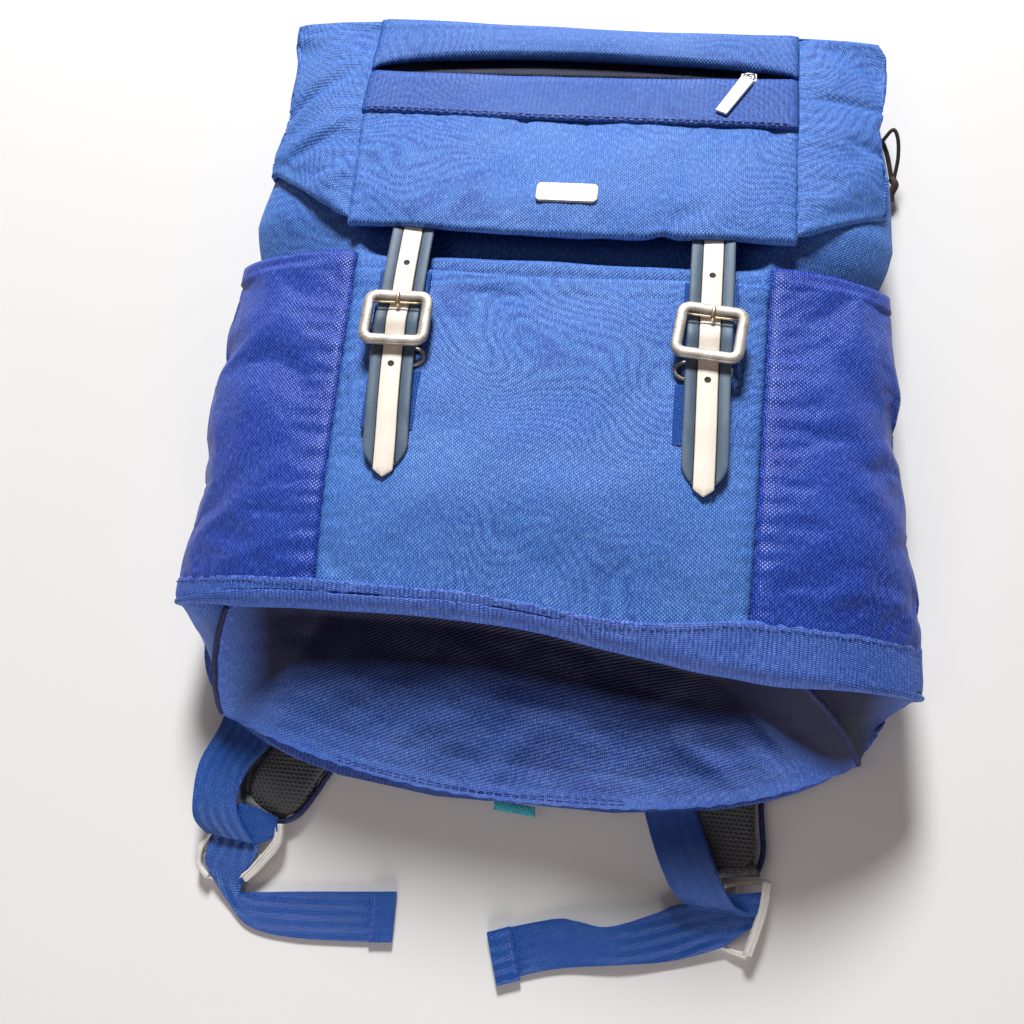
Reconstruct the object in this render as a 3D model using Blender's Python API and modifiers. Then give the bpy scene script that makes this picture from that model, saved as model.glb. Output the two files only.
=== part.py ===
"""A flap-top backpack lying on its back: +Z out of its front, +Y towards its top, metres."""

import math

import bmesh
import bpy
from mathutils import Euler, Matrix, Vector

# Driving dimensions of the bag, measured along Y from the front bottom rim.
BAG_LENGTH = 0.400
BASE_LENGTH = 0.078
BACK_Z = 0.012
RIM_HEIGHT = 0.108
TOP_HEIGHT = 0.040
BASE_EDGE_HEIGHT = 0.024
RIM_HALF_WIDTH = 0.206
TOP_HALF_WIDTH = 0.183
BACK_INSET = 0.012
RIM_SHIFT = 0.004
RIM_BOW = 0.008
MOUTH_Y = 0.384
WALL = 0.0018
GAP = 0.0004

# Pockets on the body.
POCKET_TOP = 0.224
POCKET_BOTTOM = 0.0065
FRONT_POCKET_DEPTH = 0.013
SIDE_POCKET_DEPTH = 0.014
POCKET_LIFT = 0.0012

# Flap, its hinge and its zip.
FLAP_FRONT_Y = 0.246
FLAP_WING_Y = 0.292
FLAP_TOP_Y = 0.401
HINGE_Y = 0.4065
HINGE_Z = 0.0170
HINGE_HALF_LENGTH = 0.184
ZIP_Y = 0.3636
ZIP_HALF_LENGTH = 0.128
SLIDER_X = 0.104

# Belts with their buckles, hooks and rings.
BELT_X = 0.0875
BELT_WIDTH = 0.025
BELT_TIP_Y = 0.084
BELT_ROOT_Y = 0.2450
BELT_THICKNESS = 0.0018
STRIPE_WIDTH = 0.0105
BUCKLE_Y = 0.178
BUCKLE_SIDE = 0.040
BUCKLE_BAR = 0.0028
RING_Y = 0.1480
WEB_WIDTH = 0.030
WEB_THICKNESS = 0.0014

# The laptop compartment's zip.
LAPTOP_ZIP_LOW_Y = 0.2412
LAPTOP_ZIP_HIGH_Y = 0.362
LAPTOP_SLIDER_Y = 0.352
LAPTOP_SLIDER_HEIGHT = 0.0034

# Carrying parts.
STRAP_THICKNESS = 0.0098
STRAP_HINGE_Y = 0.3765
HANDLE_Y = 0.3830
HANDLE_Z = 0.0060
HANDLE_HALF_WIDTH = 0.0175
HANDLE_REACH = 0.046
LOCK_WIDTH = 0.038
LOCK_LENGTH = 0.026
LOCK_THICKNESS = 0.0036

COLOURS = {
    "mid_blue": ((0.055, 0.19, 0.62), 0.75, 0.0),
    "violet_blue": ((0.03, 0.07, 0.40), 0.6, 0.0),
    "base_blue": ((0.04, 0.12, 0.50), 0.7, 0.0),
    "webbing_blue": ((0.02, 0.15, 0.60), 0.6, 0.0),
    "slate": ((0.10, 0.15, 0.22), 0.6, 0.0),
    "cream": ((0.90, 0.82, 0.72), 0.6, 0.0),
    "antique_silver": ((0.62, 0.60, 0.56), 0.35, 1.0),
    "brass": ((0.62, 0.45, 0.22), 0.35, 1.0),
    "satin_silver": ((0.75, 0.75, 0.76), 0.3, 1.0),
    "charcoal_mesh": ((0.06, 0.065, 0.07), 0.9, 0.0),
    "white_plastic": ((0.80, 0.80, 0.78), 0.4, 0.0),
    "navy": ((0.01, 0.02, 0.12), 0.7, 0.0),
    "brown": ((0.07, 0.045, 0.04), 0.7, 0.0),
    "teal": ((0.03, 0.42, 0.45), 0.7, 0.0),
    "lining_grey": ((0.10, 0.10, 0.11), 0.8, 0.0),
}


# The bag's shape: half a superellipse above its widest line, a rounded turn below it.
def clamp(value, low=0.0, high=1.0):
    return max(low, min(high, value))


def mix(a, b, share):
    return a + (b - a) * share


def front_height(y):
    if y >= 0:
        return TOP_HEIGHT + (RIM_HEIGHT - TOP_HEIGHT) * (1 - (y / BAG_LENGTH) ** 1.8)
    fall = clamp(1 + y / (BASE_LENGTH + 0.002))
    return BASE_EDGE_HEIGHT + (RIM_HEIGHT - BASE_EDGE_HEIGHT) * fall**1.6


def half_width(y):
    if y >= 0:
        return mix(RIM_HALF_WIDTH, TOP_HALF_WIDTH, (y / BAG_LENGTH) ** 0.7)
    return RIM_HALF_WIDTH * (1 - clamp(-y / 0.082) ** 2.2) ** (1 / 2.6)


def side_height(y):
    if y >= 0:
        return 0.050 - 0.012 * y / BAG_LENGTH
    return mix(BASE_EDGE_HEIGHT - 0.005, 0.050, clamp(1 + y / 0.08))


def seam_half_width(y):
    return min(mix(0.113, 0.122, clamp(y / POCKET_TOP)), 0.8 * half_width(y))


def squareness(y):
    """The front's arch is round over the pockets and nearly flat under the flap."""
    return mix(3.0, 5.5, clamp((y - 0.20) / 0.14))


def top_z(x, y, lift=0.0):
    """Height of the front at a point, with the skin raised by lift."""
    widest = side_height(y)
    reach = clamp(abs(x) / (half_width(y) + lift))
    return widest + (front_height(y) + lift - widest) * (1 - reach ** squareness(y)) ** 0.77


def rim_shift(turn, y):
    """The bottom rim bows towards the top, more on the left than on the right."""
    fade = clamp(1 + y / BASE_LENGTH) if y < 0 else clamp(1 - y / 0.1)
    return fade * (RIM_SHIFT + RIM_BOW * math.exp(-(((turn + 0.25) / 0.35) ** 2)))


def skin(turn, y, lift=0.0):
    """A point of the skin. Turn runs from -1 at the left back seam, over the front, to 1."""
    shifted_y = y + rim_shift(turn, y)
    side = math.copysign(1, turn)
    turn = abs(turn)
    seam = seam_half_width(y)
    wide = half_width(y) + lift
    back = half_width(y) - BACK_INSET + lift
    floor = BACK_Z + WALL + 2 * GAP
    if turn <= 0.5:
        x = seam * turn / 0.5
        z = top_z(x, y, lift)
    elif turn <= 0.8:
        x = mix(seam, wide, math.sin(math.pi / 2 * (turn - 0.5) / 0.3))
        z = top_z(x, y, lift)
    else:
        share = (turn - 0.8) / 0.2
        x = mix(back, wide, math.cos(math.pi / 2 * share))
        z = mix(side_height(y), floor, math.sin(math.pi / 2 * share))
    return Vector((side * x, shifted_y, z))


# Helpers that build objects.
def clear_scene():
    for item in list(bpy.data.objects):
        bpy.data.objects.remove(item, do_unlink=True)


def material(name):
    found = bpy.data.materials.get(name)
    if found:
        return found
    colour, roughness, metallic = COLOURS[name]
    made = bpy.data.materials.new(name)
    made.use_nodes = True
    shader = made.node_tree.nodes["Principled BSDF"]
    shader.inputs["Base Color"].default_value = (*colour, 1.0)
    shader.inputs["Roughness"].default_value = roughness
    shader.inputs["Metallic"].default_value = metallic
    return made


def add_object(name, mesh, finish):
    made = bpy.data.objects.new(name, mesh)
    PARTS.objects.link(made)
    mesh.materials.clear()
    mesh.materials.append(material(finish))
    return made


def add_bmesh(name, bm, finish):
    mesh = bpy.data.meshes.new(name)
    bm.to_mesh(mesh)
    bm.free()
    return add_object(name, mesh, finish)


def sheet(name, finish, columns, rows, place, thickness, side=1):
    """A grid laid over place(u, v), thickened outwards (side 1) or inwards (side -1)."""
    bm = bmesh.new()
    bmesh.ops.create_grid(bm, x_segments=columns, y_segments=rows, size=0.5)
    for vertex in bm.verts:
        vertex.co = place(vertex.co.x + 0.5, vertex.co.y + 0.5)
    made = add_bmesh(name, bm, finish)
    made.data.shade_smooth()
    solidify = made.modifiers.new("thickness", "SOLIDIFY")
    solidify.thickness = thickness
    solidify.offset = side
    solidify.use_rim = True
    return made


def shell(name, finish, columns, rows, outer, inner):
    """A closed shell between two surfaces that share their u and v."""
    bm = bmesh.new()
    bmesh.ops.create_grid(bm, x_segments=columns, y_segments=rows, size=0.5)
    made = bmesh.ops.extrude_face_region(bm, geom=bm.faces[:])["geom"]
    inside = {item for item in made if isinstance(item, bmesh.types.BMVert)}
    for vertex in bm.verts:
        surface = inner if vertex in inside else outer
        vertex.co = surface(vertex.co.x + 0.5, vertex.co.y + 0.5)
    bmesh.ops.recalc_face_normals(bm, faces=bm.faces)
    built = add_bmesh(name, bm, finish)
    built.data.shade_smooth()
    return built


def box(name, finish, low, high, bevel=0.0):
    bm = bmesh.new()
    bmesh.ops.create_cube(bm, size=1.0)
    low = Vector(low)
    high = Vector(high)
    for vertex in bm.verts:
        share = vertex.co + Vector((0.5, 0.5, 0.5))
        vertex.co = Vector(mix(low[i], high[i], share[i]) for i in range(3))
    made = add_bmesh(name, bm, finish)
    if bevel:
        rounding = made.modifiers.new("rounding", "BEVEL")
        rounding.width = bevel
        rounding.segments = 2
    return made


def plate(name, finish, outline, thickness):
    """A flat outline in XY, from z 0 up to its thickness."""
    curve = bpy.data.curves.new(name + "_outline", "CURVE")
    curve.dimensions = "2D"
    curve.fill_mode = "BOTH"
    curve.extrude = thickness / 2
    spline = curve.splines.new("POLY")
    spline.points.add(len(outline) - 1)
    for point, (x, y) in zip(spline.points, outline):
        point.co = (x, y, 0.0, 1.0)
    spline.use_cyclic_u = True
    drawn = bpy.data.objects.new(name + "_outline", curve)
    PARTS.objects.link(drawn)
    graph = bpy.context.evaluated_depsgraph_get()
    mesh = bpy.data.meshes.new_from_object(drawn.evaluated_get(graph))
    bpy.data.objects.remove(drawn)
    bm = bmesh.new()
    bm.from_mesh(mesh)
    bpy.data.meshes.remove(mesh)
    bmesh.ops.remove_doubles(bm, verts=bm.verts, dist=0.00001)
    bmesh.ops.recalc_face_normals(bm, faces=bm.faces)
    bmesh.ops.translate(bm, verts=bm.verts, vec=(0.0, 0.0, thickness / 2))
    return add_bmesh(name, bm, finish)


def loop_bar(name, finish, half_x, half_y, bar, squared, segments=24):
    """A closed round bar bent into a rounded rectangle, an oval or a D."""
    bpy.ops.mesh.primitive_torus_add(
        major_radius=1.0, minor_radius=0.1, major_segments=segments, minor_segments=6
    )
    made = bpy.context.object
    made.name = name
    for vertex in made.data.vertices:
        angle = math.atan2(vertex.co.y, vertex.co.x)
        out = math.hypot(vertex.co.x, vertex.co.y) - 1.0
        ca = math.cos(angle)
        sa = math.sin(angle)
        reach = (abs(ca) ** squared + abs(sa) ** squared) ** (-1 / squared)
        swell = out / 0.1 * bar
        vertex.co.x = half_x * reach * ca + swell * ca
        vertex.co.y = half_y * reach * sa + swell * sa
        vertex.co.z = vertex.co.z / 0.1 * bar
    for owner in list(made.users_collection):
        owner.objects.unlink(made)
    PARTS.objects.link(made)
    made.data.materials.clear()
    made.data.materials.append(material(finish))
    made.data.shade_smooth()
    return made


def tube(name, finish, points, radius, resolution=2):
    """A round cord or piping through the points, with flat ends."""
    curve = bpy.data.curves.new(name, "CURVE")
    curve.dimensions = "3D"
    curve.bevel_depth = radius
    curve.bevel_resolution = resolution
    curve.use_fill_caps = True
    spline = curve.splines.new("POLY")
    spline.points.add(len(points) - 1)
    for point, place in zip(spline.points, points):
        point.co = (*place, 1.0)
    made = bpy.data.objects.new(name, curve)
    PARTS.objects.link(made)
    curve.materials.append(material(finish))
    return made


def smooth_route(points, steps):
    """A Catmull-Rom curve through the points, with its ends repeated."""
    knots = [Vector(points[0])] + [Vector(p) for p in points] + [Vector(points[-1])]
    route = []
    for index in range(len(points) - 1):
        a, b, c, d = knots[index : index + 4]
        for step in range(steps):
            t = step / steps
            route.append(
                b
                + (c - a) * (0.5 * t)
                + (a * 2 - b * 5 + c * 4 - d) * (0.5 * t * t)
                + (b * 3 - a - c * 3 + d) * (0.5 * t**3)
            )
    route.append(Vector(points[-1]))
    return route


def along(route, share):
    place = share * (len(route) - 1)
    low = min(int(place), len(route) - 2)
    return route[low].lerp(route[low + 1], place - low)


def side_name(sign):
    return "left" if sign < 0 else "right"


# The bag's body.
def pocket_window(y):
    """1 behind the pockets, falling to 0 just above their mouths."""
    return 1 - clamp((y - POCKET_TOP) / 0.035) ** 0.8


def front_panel():
    def place(u, v):
        y = mix(0.0006, MOUTH_Y, v)
        turn = mix(-0.496, 0.496, u)
        point = skin(turn, y)
        hollow = (1 - abs(turn / 0.5) ** 6) * pocket_window(y) * clamp((y + 0.02) / 0.06)
        point.z -= FRONT_POCKET_DEPTH * hollow
        return point

    sheet("front_panel", "mid_blue", 10, 15, place, WALL, -1)


def gusset(sign):
    def place(u, v):
        y = mix(0.0006, MOUTH_Y, v)
        turn = mix(0.504, 1.0, u) if sign > 0 else mix(-1.0, -0.504, u)
        middle = math.sin(math.pi * clamp((abs(turn) - 0.5) / 0.42)) ** 0.6
        hollow = middle * pocket_window(y) * clamp((y + 0.01) / 0.08)
        return skin(turn, y, -SIDE_POCKET_DEPTH * hollow)

    sheet("gusset_" + side_name(sign), "mid_blue", 12, 14, place, WALL, -1)


def bottom_panel():
    """The sloping base: its first row stands on the back panel as the end wall."""
    rows = 10
    floor = BACK_Z + WALL + 2 * GAP

    def base(u, v, inset):
        turn = mix(-1.0, 1.0, u)
        climb = clamp((v * rows - 1) / (rows - 1))
        point = skin(turn, mix(-BASE_LENGTH + inset, -0.0034, climb), -inset)
        if abs(turn) > 0.8:
            point.z = max(point.z, floor + inset * (abs(turn) - 0.8) / 0.2)
        if v * rows < 0.5:
            point.y -= 0.0015 * (1 - clamp((abs(turn) - 0.8) / 0.25))
            point.z = floor + inset * clamp((abs(turn) - 0.8) / 0.2)
        return point

    def outer(u, v):
        return base(u, v, 0.0)

    def inner(u, v):
        return base(u, v, WALL)

    shell("bottom_panel", "base_blue", 26, rows, outer, inner)


def back_panel():
    def place(u, v):
        y = mix(-BASE_LENGTH - 0.0035, FLAP_TOP_Y - 0.0015, v)
        reach = half_width(max(y, -BASE_LENGTH)) - BACK_INSET + 0.004
        return Vector((mix(-reach, reach, u), y, BACK_Z))

    sheet("back_panel", "base_blue", 2, 20, place, WALL, 1)


def flat_sheet(name, finish, half_x, y_low, y_high, z, thickness, corner=0.012):
    def place(u, v):
        y = mix(y_low, y_high, v)
        end = min(y - y_low, y_high - y)
        inset = corner * (1 - math.sqrt(clamp(end / corner))) if end < corner else 0.0
        reach = half_x - inset
        return Vector((mix(-reach, reach, u), y, z))

    sheet(name, finish, 2, 12, place, thickness, 1)


def rim_piping():
    points = []
    for step in range(25):
        turn = mix(-0.86, 0.86, step / 24)
        points.append(skin(turn, -0.0006, 0.0046))
    tube("rim_piping", "mid_blue", points, 0.0040, 1)


def front_pocket():
    def place(u, v):
        y = mix(POCKET_BOTTOM, POCKET_TOP, v)
        return skin(mix(-0.492, 0.492, u), y, POCKET_LIFT)

    sheet("front_pocket", "mid_blue", 10, 10, place, 0.0014, 1)


def side_pocket(sign):
    def place(u, v):
        y = mix(POCKET_BOTTOM, POCKET_TOP, v)
        turn = mix(0.508, 0.96, u) if sign > 0 else mix(-0.96, -0.508, u)
        return skin(turn, y, POCKET_LIFT)

    sheet("side_pocket_" + side_name(sign), "violet_blue", 10, 10, place, 0.0014, 1)


def mouth_binding():
    """The bound edge inside the mouth, over the front panel's top."""

    def place(u, v):
        point = skin(mix(-0.48, 0.48, u), mix(MOUTH_Y - 0.014, MOUTH_Y - 0.002, v))
        point.z += 0.0008
        return point

    sheet("mouth_binding", "navy", 12, 2, place, 0.0010, 1)


# The flap and what it carries.
def flap_lift(y):
    return mix(0.0100, 0.0060, clamp((y - FLAP_FRONT_Y) / (FLAP_TOP_Y - FLAP_FRONT_Y)))


def flap_front_edge(turn):
    return mix(FLAP_FRONT_Y, FLAP_WING_Y, clamp((abs(turn) - 0.56) / 0.30) ** 0.9)


def flap_point(turn, y, lift):
    """A point of the flap at a section, with the seam line at FLAP_SEAM_X."""
    point = skin(turn, y, flap_lift(y) + lift)
    return point


def flap_shell():
    def place(u, v):
        turn = mix(-0.90, 0.90, u)
        front = flap_front_edge(turn)
        if v <= 0.8:
            return flap_point(turn, mix(front, FLAP_TOP_Y, v / 0.8), 0.0)
        share = (v - 0.8) / 0.2
        top = flap_point(turn, FLAP_TOP_Y, 0.0)
        top.y += 0.0042 * math.sin(math.pi / 2 * share)
        top.z = mix(top.z, HINGE_Z, share)
        top.x = mix(top.x, HINGE_HALF_LENGTH * turn / 0.90, share)
        return top

    sheet("flap_shell", "mid_blue", 22, 15, place, 0.0016, 1)


def flap_strip(name, finish, y_low, y_high, half_x, lift, rows, thickness=0.0012):
    def place(u, v):
        x = mix(-half_x, half_x, u)
        y = mix(y_low, y_high, v)
        return Vector((x, y, top_z(x, y, flap_lift(y) + lift)))

    sheet(name, finish, 12, rows, place, thickness, 1)


def badge():
    half_x, half_y, corner = 0.018, 0.0068, 0.0045
    outline = []
    for cx, cy, start in ((1, 1, 0), (-1, 1, 90), (-1, -1, 180), (1, -1, 270)):
        for step in range(4):
            angle = math.radians(start + 30 * step)
            x = cx * (half_x - corner) + corner * math.cos(angle)
            y = cy * (half_y - corner) + corner * math.sin(angle)
            outline.append((x, y + (0.0010 if cy > 0 and abs(x) < half_x - corner else 0)))
    made = plate("badge", "satin_silver", outline, 0.0012)
    y = 0.2670
    slope = math.atan2(top_z(0, y + 0.01, flap_lift(y + 0.01)) - top_z(0, y, flap_lift(y)), 0.01)
    made.rotation_euler = (slope, 0.0, 0.0)
    made.location = (0.001, y, top_z(0, y, flap_lift(y)) + 0.0026)


def front_slope(x, y, lift=0.0):
    return math.atan2(top_z(x, y + 0.01, lift) - top_z(x, y - 0.01, lift), 0.02)


def flap_zip_slider():
    z = top_z(0.0, ZIP_Y, flap_lift(ZIP_Y) + 0.0026)
    made = box(
        "flap_zip_slider",
        "satin_silver",
        (-0.0045, -0.0019, 0.0),
        (0.0045, 0.0019, 0.0034),
        0.0005,
    )
    made.rotation_euler = (front_slope(0.0, ZIP_Y), 0.0, 0.0)
    made.location = (SLIDER_X, ZIP_Y, z)
    return z


def flap_zip_pull(slider_z):
    outline = [(-0.0036, 0.0), (0.0036, 0.0), (0.0036, -0.029), (0.0012, -0.0325), (-0.0036, -0.0325)]
    made = plate("flap_zip_pull", "satin_silver", outline[::-1], 0.0018)
    turn = math.radians(-24)
    made.rotation_euler = Euler((front_slope(0.0, 0.345), 0.0, turn), "XYZ")
    made.location = (SLIDER_X, ZIP_Y - 0.0026, slider_z + 0.0040)


# Belts, buckles and closures.
def belt_lift(y):
    near_tip = clamp((y - BELT_TIP_Y) / 0.04)
    near_flap = clamp((BELT_ROOT_Y - y) / 0.04)
    return 0.0040 + 0.0040 * min(near_tip, near_flap) ** 0.7


def belt_z(sign, y, lift=0.0):
    return top_z(BELT_X, y, belt_lift(y) + lift)


def belt_strip(name, finish, sign, width, tip_y, root_y, lift, thickness):
    """A strip with a pointed tip that follows the pocket's slope."""

    def place(u, v):
        y = mix(tip_y, root_y, v)
        point = clamp((y - tip_y) / (0.62 * width))
        half = width / 2 * max(0.12, math.sin(math.pi / 2 * point) ** 0.7)
        return Vector((sign * BELT_X + mix(-half, half, u), y, belt_z(sign, y, lift)))

    sheet(name, finish, 2, 16, place, thickness, 1)


def belt(sign):
    side = side_name(sign)
    belt_strip("belt_" + side, "slate", sign, BELT_WIDTH, BELT_TIP_Y, BELT_ROOT_Y, 0.0, BELT_THICKNESS)
    lift = BELT_THICKNESS + 0.0005
    tip_y = BELT_TIP_Y + 0.003
    belt_strip("belt_stripe_" + side, "cream", sign, STRIPE_WIDTH, tip_y, BELT_ROOT_Y, lift, 0.0005)


def belt_anchor(sign):
    """The belt's end, sewn under the flap's front edge."""
    y_low = BELT_ROOT_Y + 0.0012
    place_x = sign * BELT_X

    def place(u, v):
        y = mix(y_low, y_low + 0.026, v)
        x = place_x + mix(-BELT_WIDTH / 2, BELT_WIDTH / 2, u)
        return Vector((x, y, top_z(BELT_X, y, 0.0038)))

    sheet("belt_anchor_" + side_name(sign), "slate", 2, 3, place, BELT_THICKNESS, 1)


def buckle(sign):
    side = side_name(sign)
    lift = BELT_THICKNESS + 0.0014 + BUCKLE_BAR
    z = belt_z(sign, BUCKLE_Y, lift)
    half = BUCKLE_SIDE / 2 - BUCKLE_BAR
    frame = loop_bar("buckle_" + side, "antique_silver", half, half, BUCKLE_BAR, 7)
    slope = front_slope(BELT_X, BUCKLE_Y, 0.008)
    skew = math.radians(-6) if sign > 0 else 0.0
    frame.rotation_euler = (slope, 0.0, skew)
    frame.location = (sign * BELT_X, BUCKLE_Y, z)
    prong_route = [(0.0, 0.0138, 0.0), (0.0, 0.0080, 0.0010), (0.0, 0.0020, 0.0008), (0.0, -0.0030, -0.0008)]
    placed = Matrix.Translation(frame.location) @ frame.rotation_euler.to_matrix().to_4x4()
    points = [placed @ Vector(p) for p in smooth_route(prong_route, 3)]
    tube("prong_" + side, "brass", points, 0.0010, 1)


def closure_tab(sign):
    """The webbing tab sewn to the front pocket, under the belt."""

    def place(u, v):
        y = mix(0.112, RING_Y - 0.0010, v)
        x = sign * (BELT_X - 0.003) + mix(-0.0155, 0.0155, u)
        return Vector((x, y, top_z(x, y, 0.0034)))

    sheet("closure_tab_" + side_name(sign), "webbing_blue", 4, 5, place, WEB_THICKNESS, 1)


def closure_ring(sign):
    made = loop_bar("closure_ring_" + side_name(sign), "antique_silver", 0.0165, 0.0062, 0.0011, 2.6, 20)
    y = RING_Y + 0.0090
    made.rotation_euler = (front_slope(BELT_X, y), 0.0, 0.0)
    made.location = (sign * (BELT_X - 0.003), y, top_z(BELT_X - 0.003, y, 0.0052))


def belt_hook(sign):
    """A flat plate under the belt whose nose drops into the ring."""
    y = RING_Y + 0.0090
    low = Vector((-0.0080, -0.0020, 0.0))
    made = box("belt_hook_" + side_name(sign), "antique_silver", low, (0.0080, 0.0020, 0.0022), 0.0004)
    made.rotation_euler = (front_slope(BELT_X, y), 0.0, 0.0)
    made.location = (sign * BELT_X, y, belt_z(sign, y) - 0.0027)


# Carrying straps.
STRAP_ROUTES = {
    -1: [(-0.055, 0.374), (-0.072, 0.26), (-0.108, 0.12), (-0.127, 0.0), (-0.136, -0.06), (-0.152, -0.103)],
    1: [(0.055, 0.374), (0.072, 0.26), (0.106, 0.12), (0.113, 0.0), (0.113, -0.06), (0.118, -0.108)],
}


def shoulder_strap(sign):
    route = smooth_route([(x, y, 0.0) for x, y in STRAP_ROUTES[sign]], 8)

    def place(u, v):
        centre = along(route, 1 - v)
        ahead = along(route, clamp(1 - v + 0.01))
        behind = along(route, clamp(1 - v - 0.01))
        run = (ahead - behind).normalized()
        across = Vector((-run.y, run.x, 0.0))
        half = mix(0.0290, 0.0225, clamp((1 - v - 0.55) / 0.3))
        taper = clamp(v / 0.035)
        half *= mix(0.72, 1.0, math.sin(math.pi / 2 * taper))
        return centre + across * mix(-half, half, u)

    sheet("shoulder_strap_" + side_name(sign), "charcoal_mesh", 2, 22, place, STRAP_THICKNESS, 1)


# Where each lock lies, how far it is turned in degrees, and its height.
LOCK_PLACES = {-1: ((-0.1690, -0.1250), 12.0, 0.0026), 1: ((0.1290, -0.1330), 78.0, 0.0026)}


def ladder_lock(sign):
    name = "ladder_lock_" + side_name(sign)
    (x, y), turn, z = LOCK_PLACES[sign]
    half_x = LOCK_WIDTH / 2
    half_y = LOCK_LENGTH / 2
    outline = [(-half_x, -half_y), (half_x, -half_y), (half_x, half_y), (-half_x, half_y)]
    made = plate(name, "white_plastic", outline, LOCK_THICKNESS)
    for index, middle in enumerate((-0.0058, 0.0058)):
        slot = box(
            f"{name}_slot_{index}",
            "white_plastic",
            (-0.0155, middle - 0.0021, -0.002),
            (0.0155, middle + 0.0021, LOCK_THICKNESS + 0.002),
        )
        PARTS.objects.unlink(slot)
        CUTTERS.objects.link(slot)
        slot.hide_render = True
        slot.display_type = "WIRE"
        slot.parent = made
        cut = made.modifiers.new("slot", "BOOLEAN")
        cut.object = slot
    made.rotation_euler = (0.0, 0.0, math.radians(turn))
    made.location = (x, y, z)


WEB_ROUTES = {
    -1: [
        (-0.172, -0.020, 0.0102),
        (-0.174, -0.055, 0.0102),
        (-0.180, -0.090, 0.0180),
        (-0.176, -0.112, 0.0110),
    ],
    1: [
        (0.070, -0.048, 0.0102),
        (0.076, -0.070, 0.0102),
        (0.083, -0.086, 0.0104),
        (0.096, -0.107, 0.0165),
        (0.111, -0.124, 0.0125),
    ],
}


def ribbon(name, finish, route, width, thickness, rows):
    def place(u, v):
        centre = along(route, 1 - v)
        run = along(route, clamp(1 - v + 0.02)) - along(route, clamp(1 - v - 0.02))
        across = Vector((-run.y, run.x, 0.0)).normalized()
        return centre + across * mix(-width / 2, width / 2, u)

    sheet(name, finish, 2, rows, place, thickness, 1)


def strap_web(sign):
    route = smooth_route(WEB_ROUTES[sign], 5)
    ribbon("strap_web_" + side_name(sign), "webbing_blue", route, WEB_WIDTH, WEB_THICKNESS, 14)


TAIL_ROUTES = {
    -1: [
        (-0.168, -0.1425, 0.0006),
        (-0.150, -0.158, 0.0006),
        (-0.110, -0.1570, 0.0006),
        (-0.074, -0.1525, 0.0006),
    ],
    1: [
        (0.110, -0.1400, 0.0006),
        (0.080, -0.1560, 0.0006),
        (0.030, -0.1560, 0.0006),
        (-0.013, -0.1700, 0.0006),
    ],
}


def web_tail(sign):
    route = smooth_route(TAIL_ROUTES[sign], 6)
    ribbon("web_tail_" + side_name(sign), "webbing_blue", route, WEB_WIDTH, WEB_THICKNESS, 16)


def grab_handle():
    """A webbing loop at the top of the back, lying folded down against it."""
    points = []
    for step in range(13):
        angle = math.pi * step / 12
        y = HANDLE_Y - HANDLE_REACH * math.sin(angle) ** 0.6
        points.append((HANDLE_HALF_WIDTH * math.cos(angle), y, HANDLE_Z))
    tube("grab_handle", "webbing_blue", points, 0.0042, 2)


def laptop_zip():
    """Tape and slider of the laptop compartment's zip, low on the right gusset."""

    def place(u, v):
        point = skin(mix(0.93, 0.975, u), mix(LAPTOP_ZIP_LOW_Y, LAPTOP_ZIP_HIGH_Y, v))
        point.x += 0.0006
        return point

    sheet("laptop_zip_tape", "navy", 2, 14, place, 0.0010, 1)
    low = (0.0, -0.006, -0.004)
    high = (LAPTOP_SLIDER_HEIGHT, 0.006, 0.004)
    made = box("laptop_zip_slider", "satin_silver", low, high, 0.0005)
    made.location = skin(0.95, LAPTOP_SLIDER_Y) + Vector((LAPTOP_SLIDER_HEIGHT, 0.0, 0.0))


THONG_ROUTE = [
    (0.1925, 0.3480, 0.0200),
    (0.1975, 0.3530, 0.0240),
    (0.2010, 0.3480, 0.0220),
    (0.2025, 0.3380, 0.0160),
    (0.2015, 0.3270, 0.0100),
    (0.2010, 0.3170, 0.0060),
]


def size_tag():
    box("size_tag", "teal", (-0.017, -0.0900, 0.0100), (0.007, -0.0800, 0.0106))


# What turns with what: each joint's empty lies on its axis and carries its pieces.
def hang(name, place, pieces):
    hinge = bpy.data.objects.new(name, None)
    hinge.location = place
    PARTS.objects.link(hinge)
    for piece in pieces:
        held = PARTS.objects[piece]
        held.parent = hinge
        held.matrix_parent_inverse = Matrix.Translation(-Vector(place))


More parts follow.
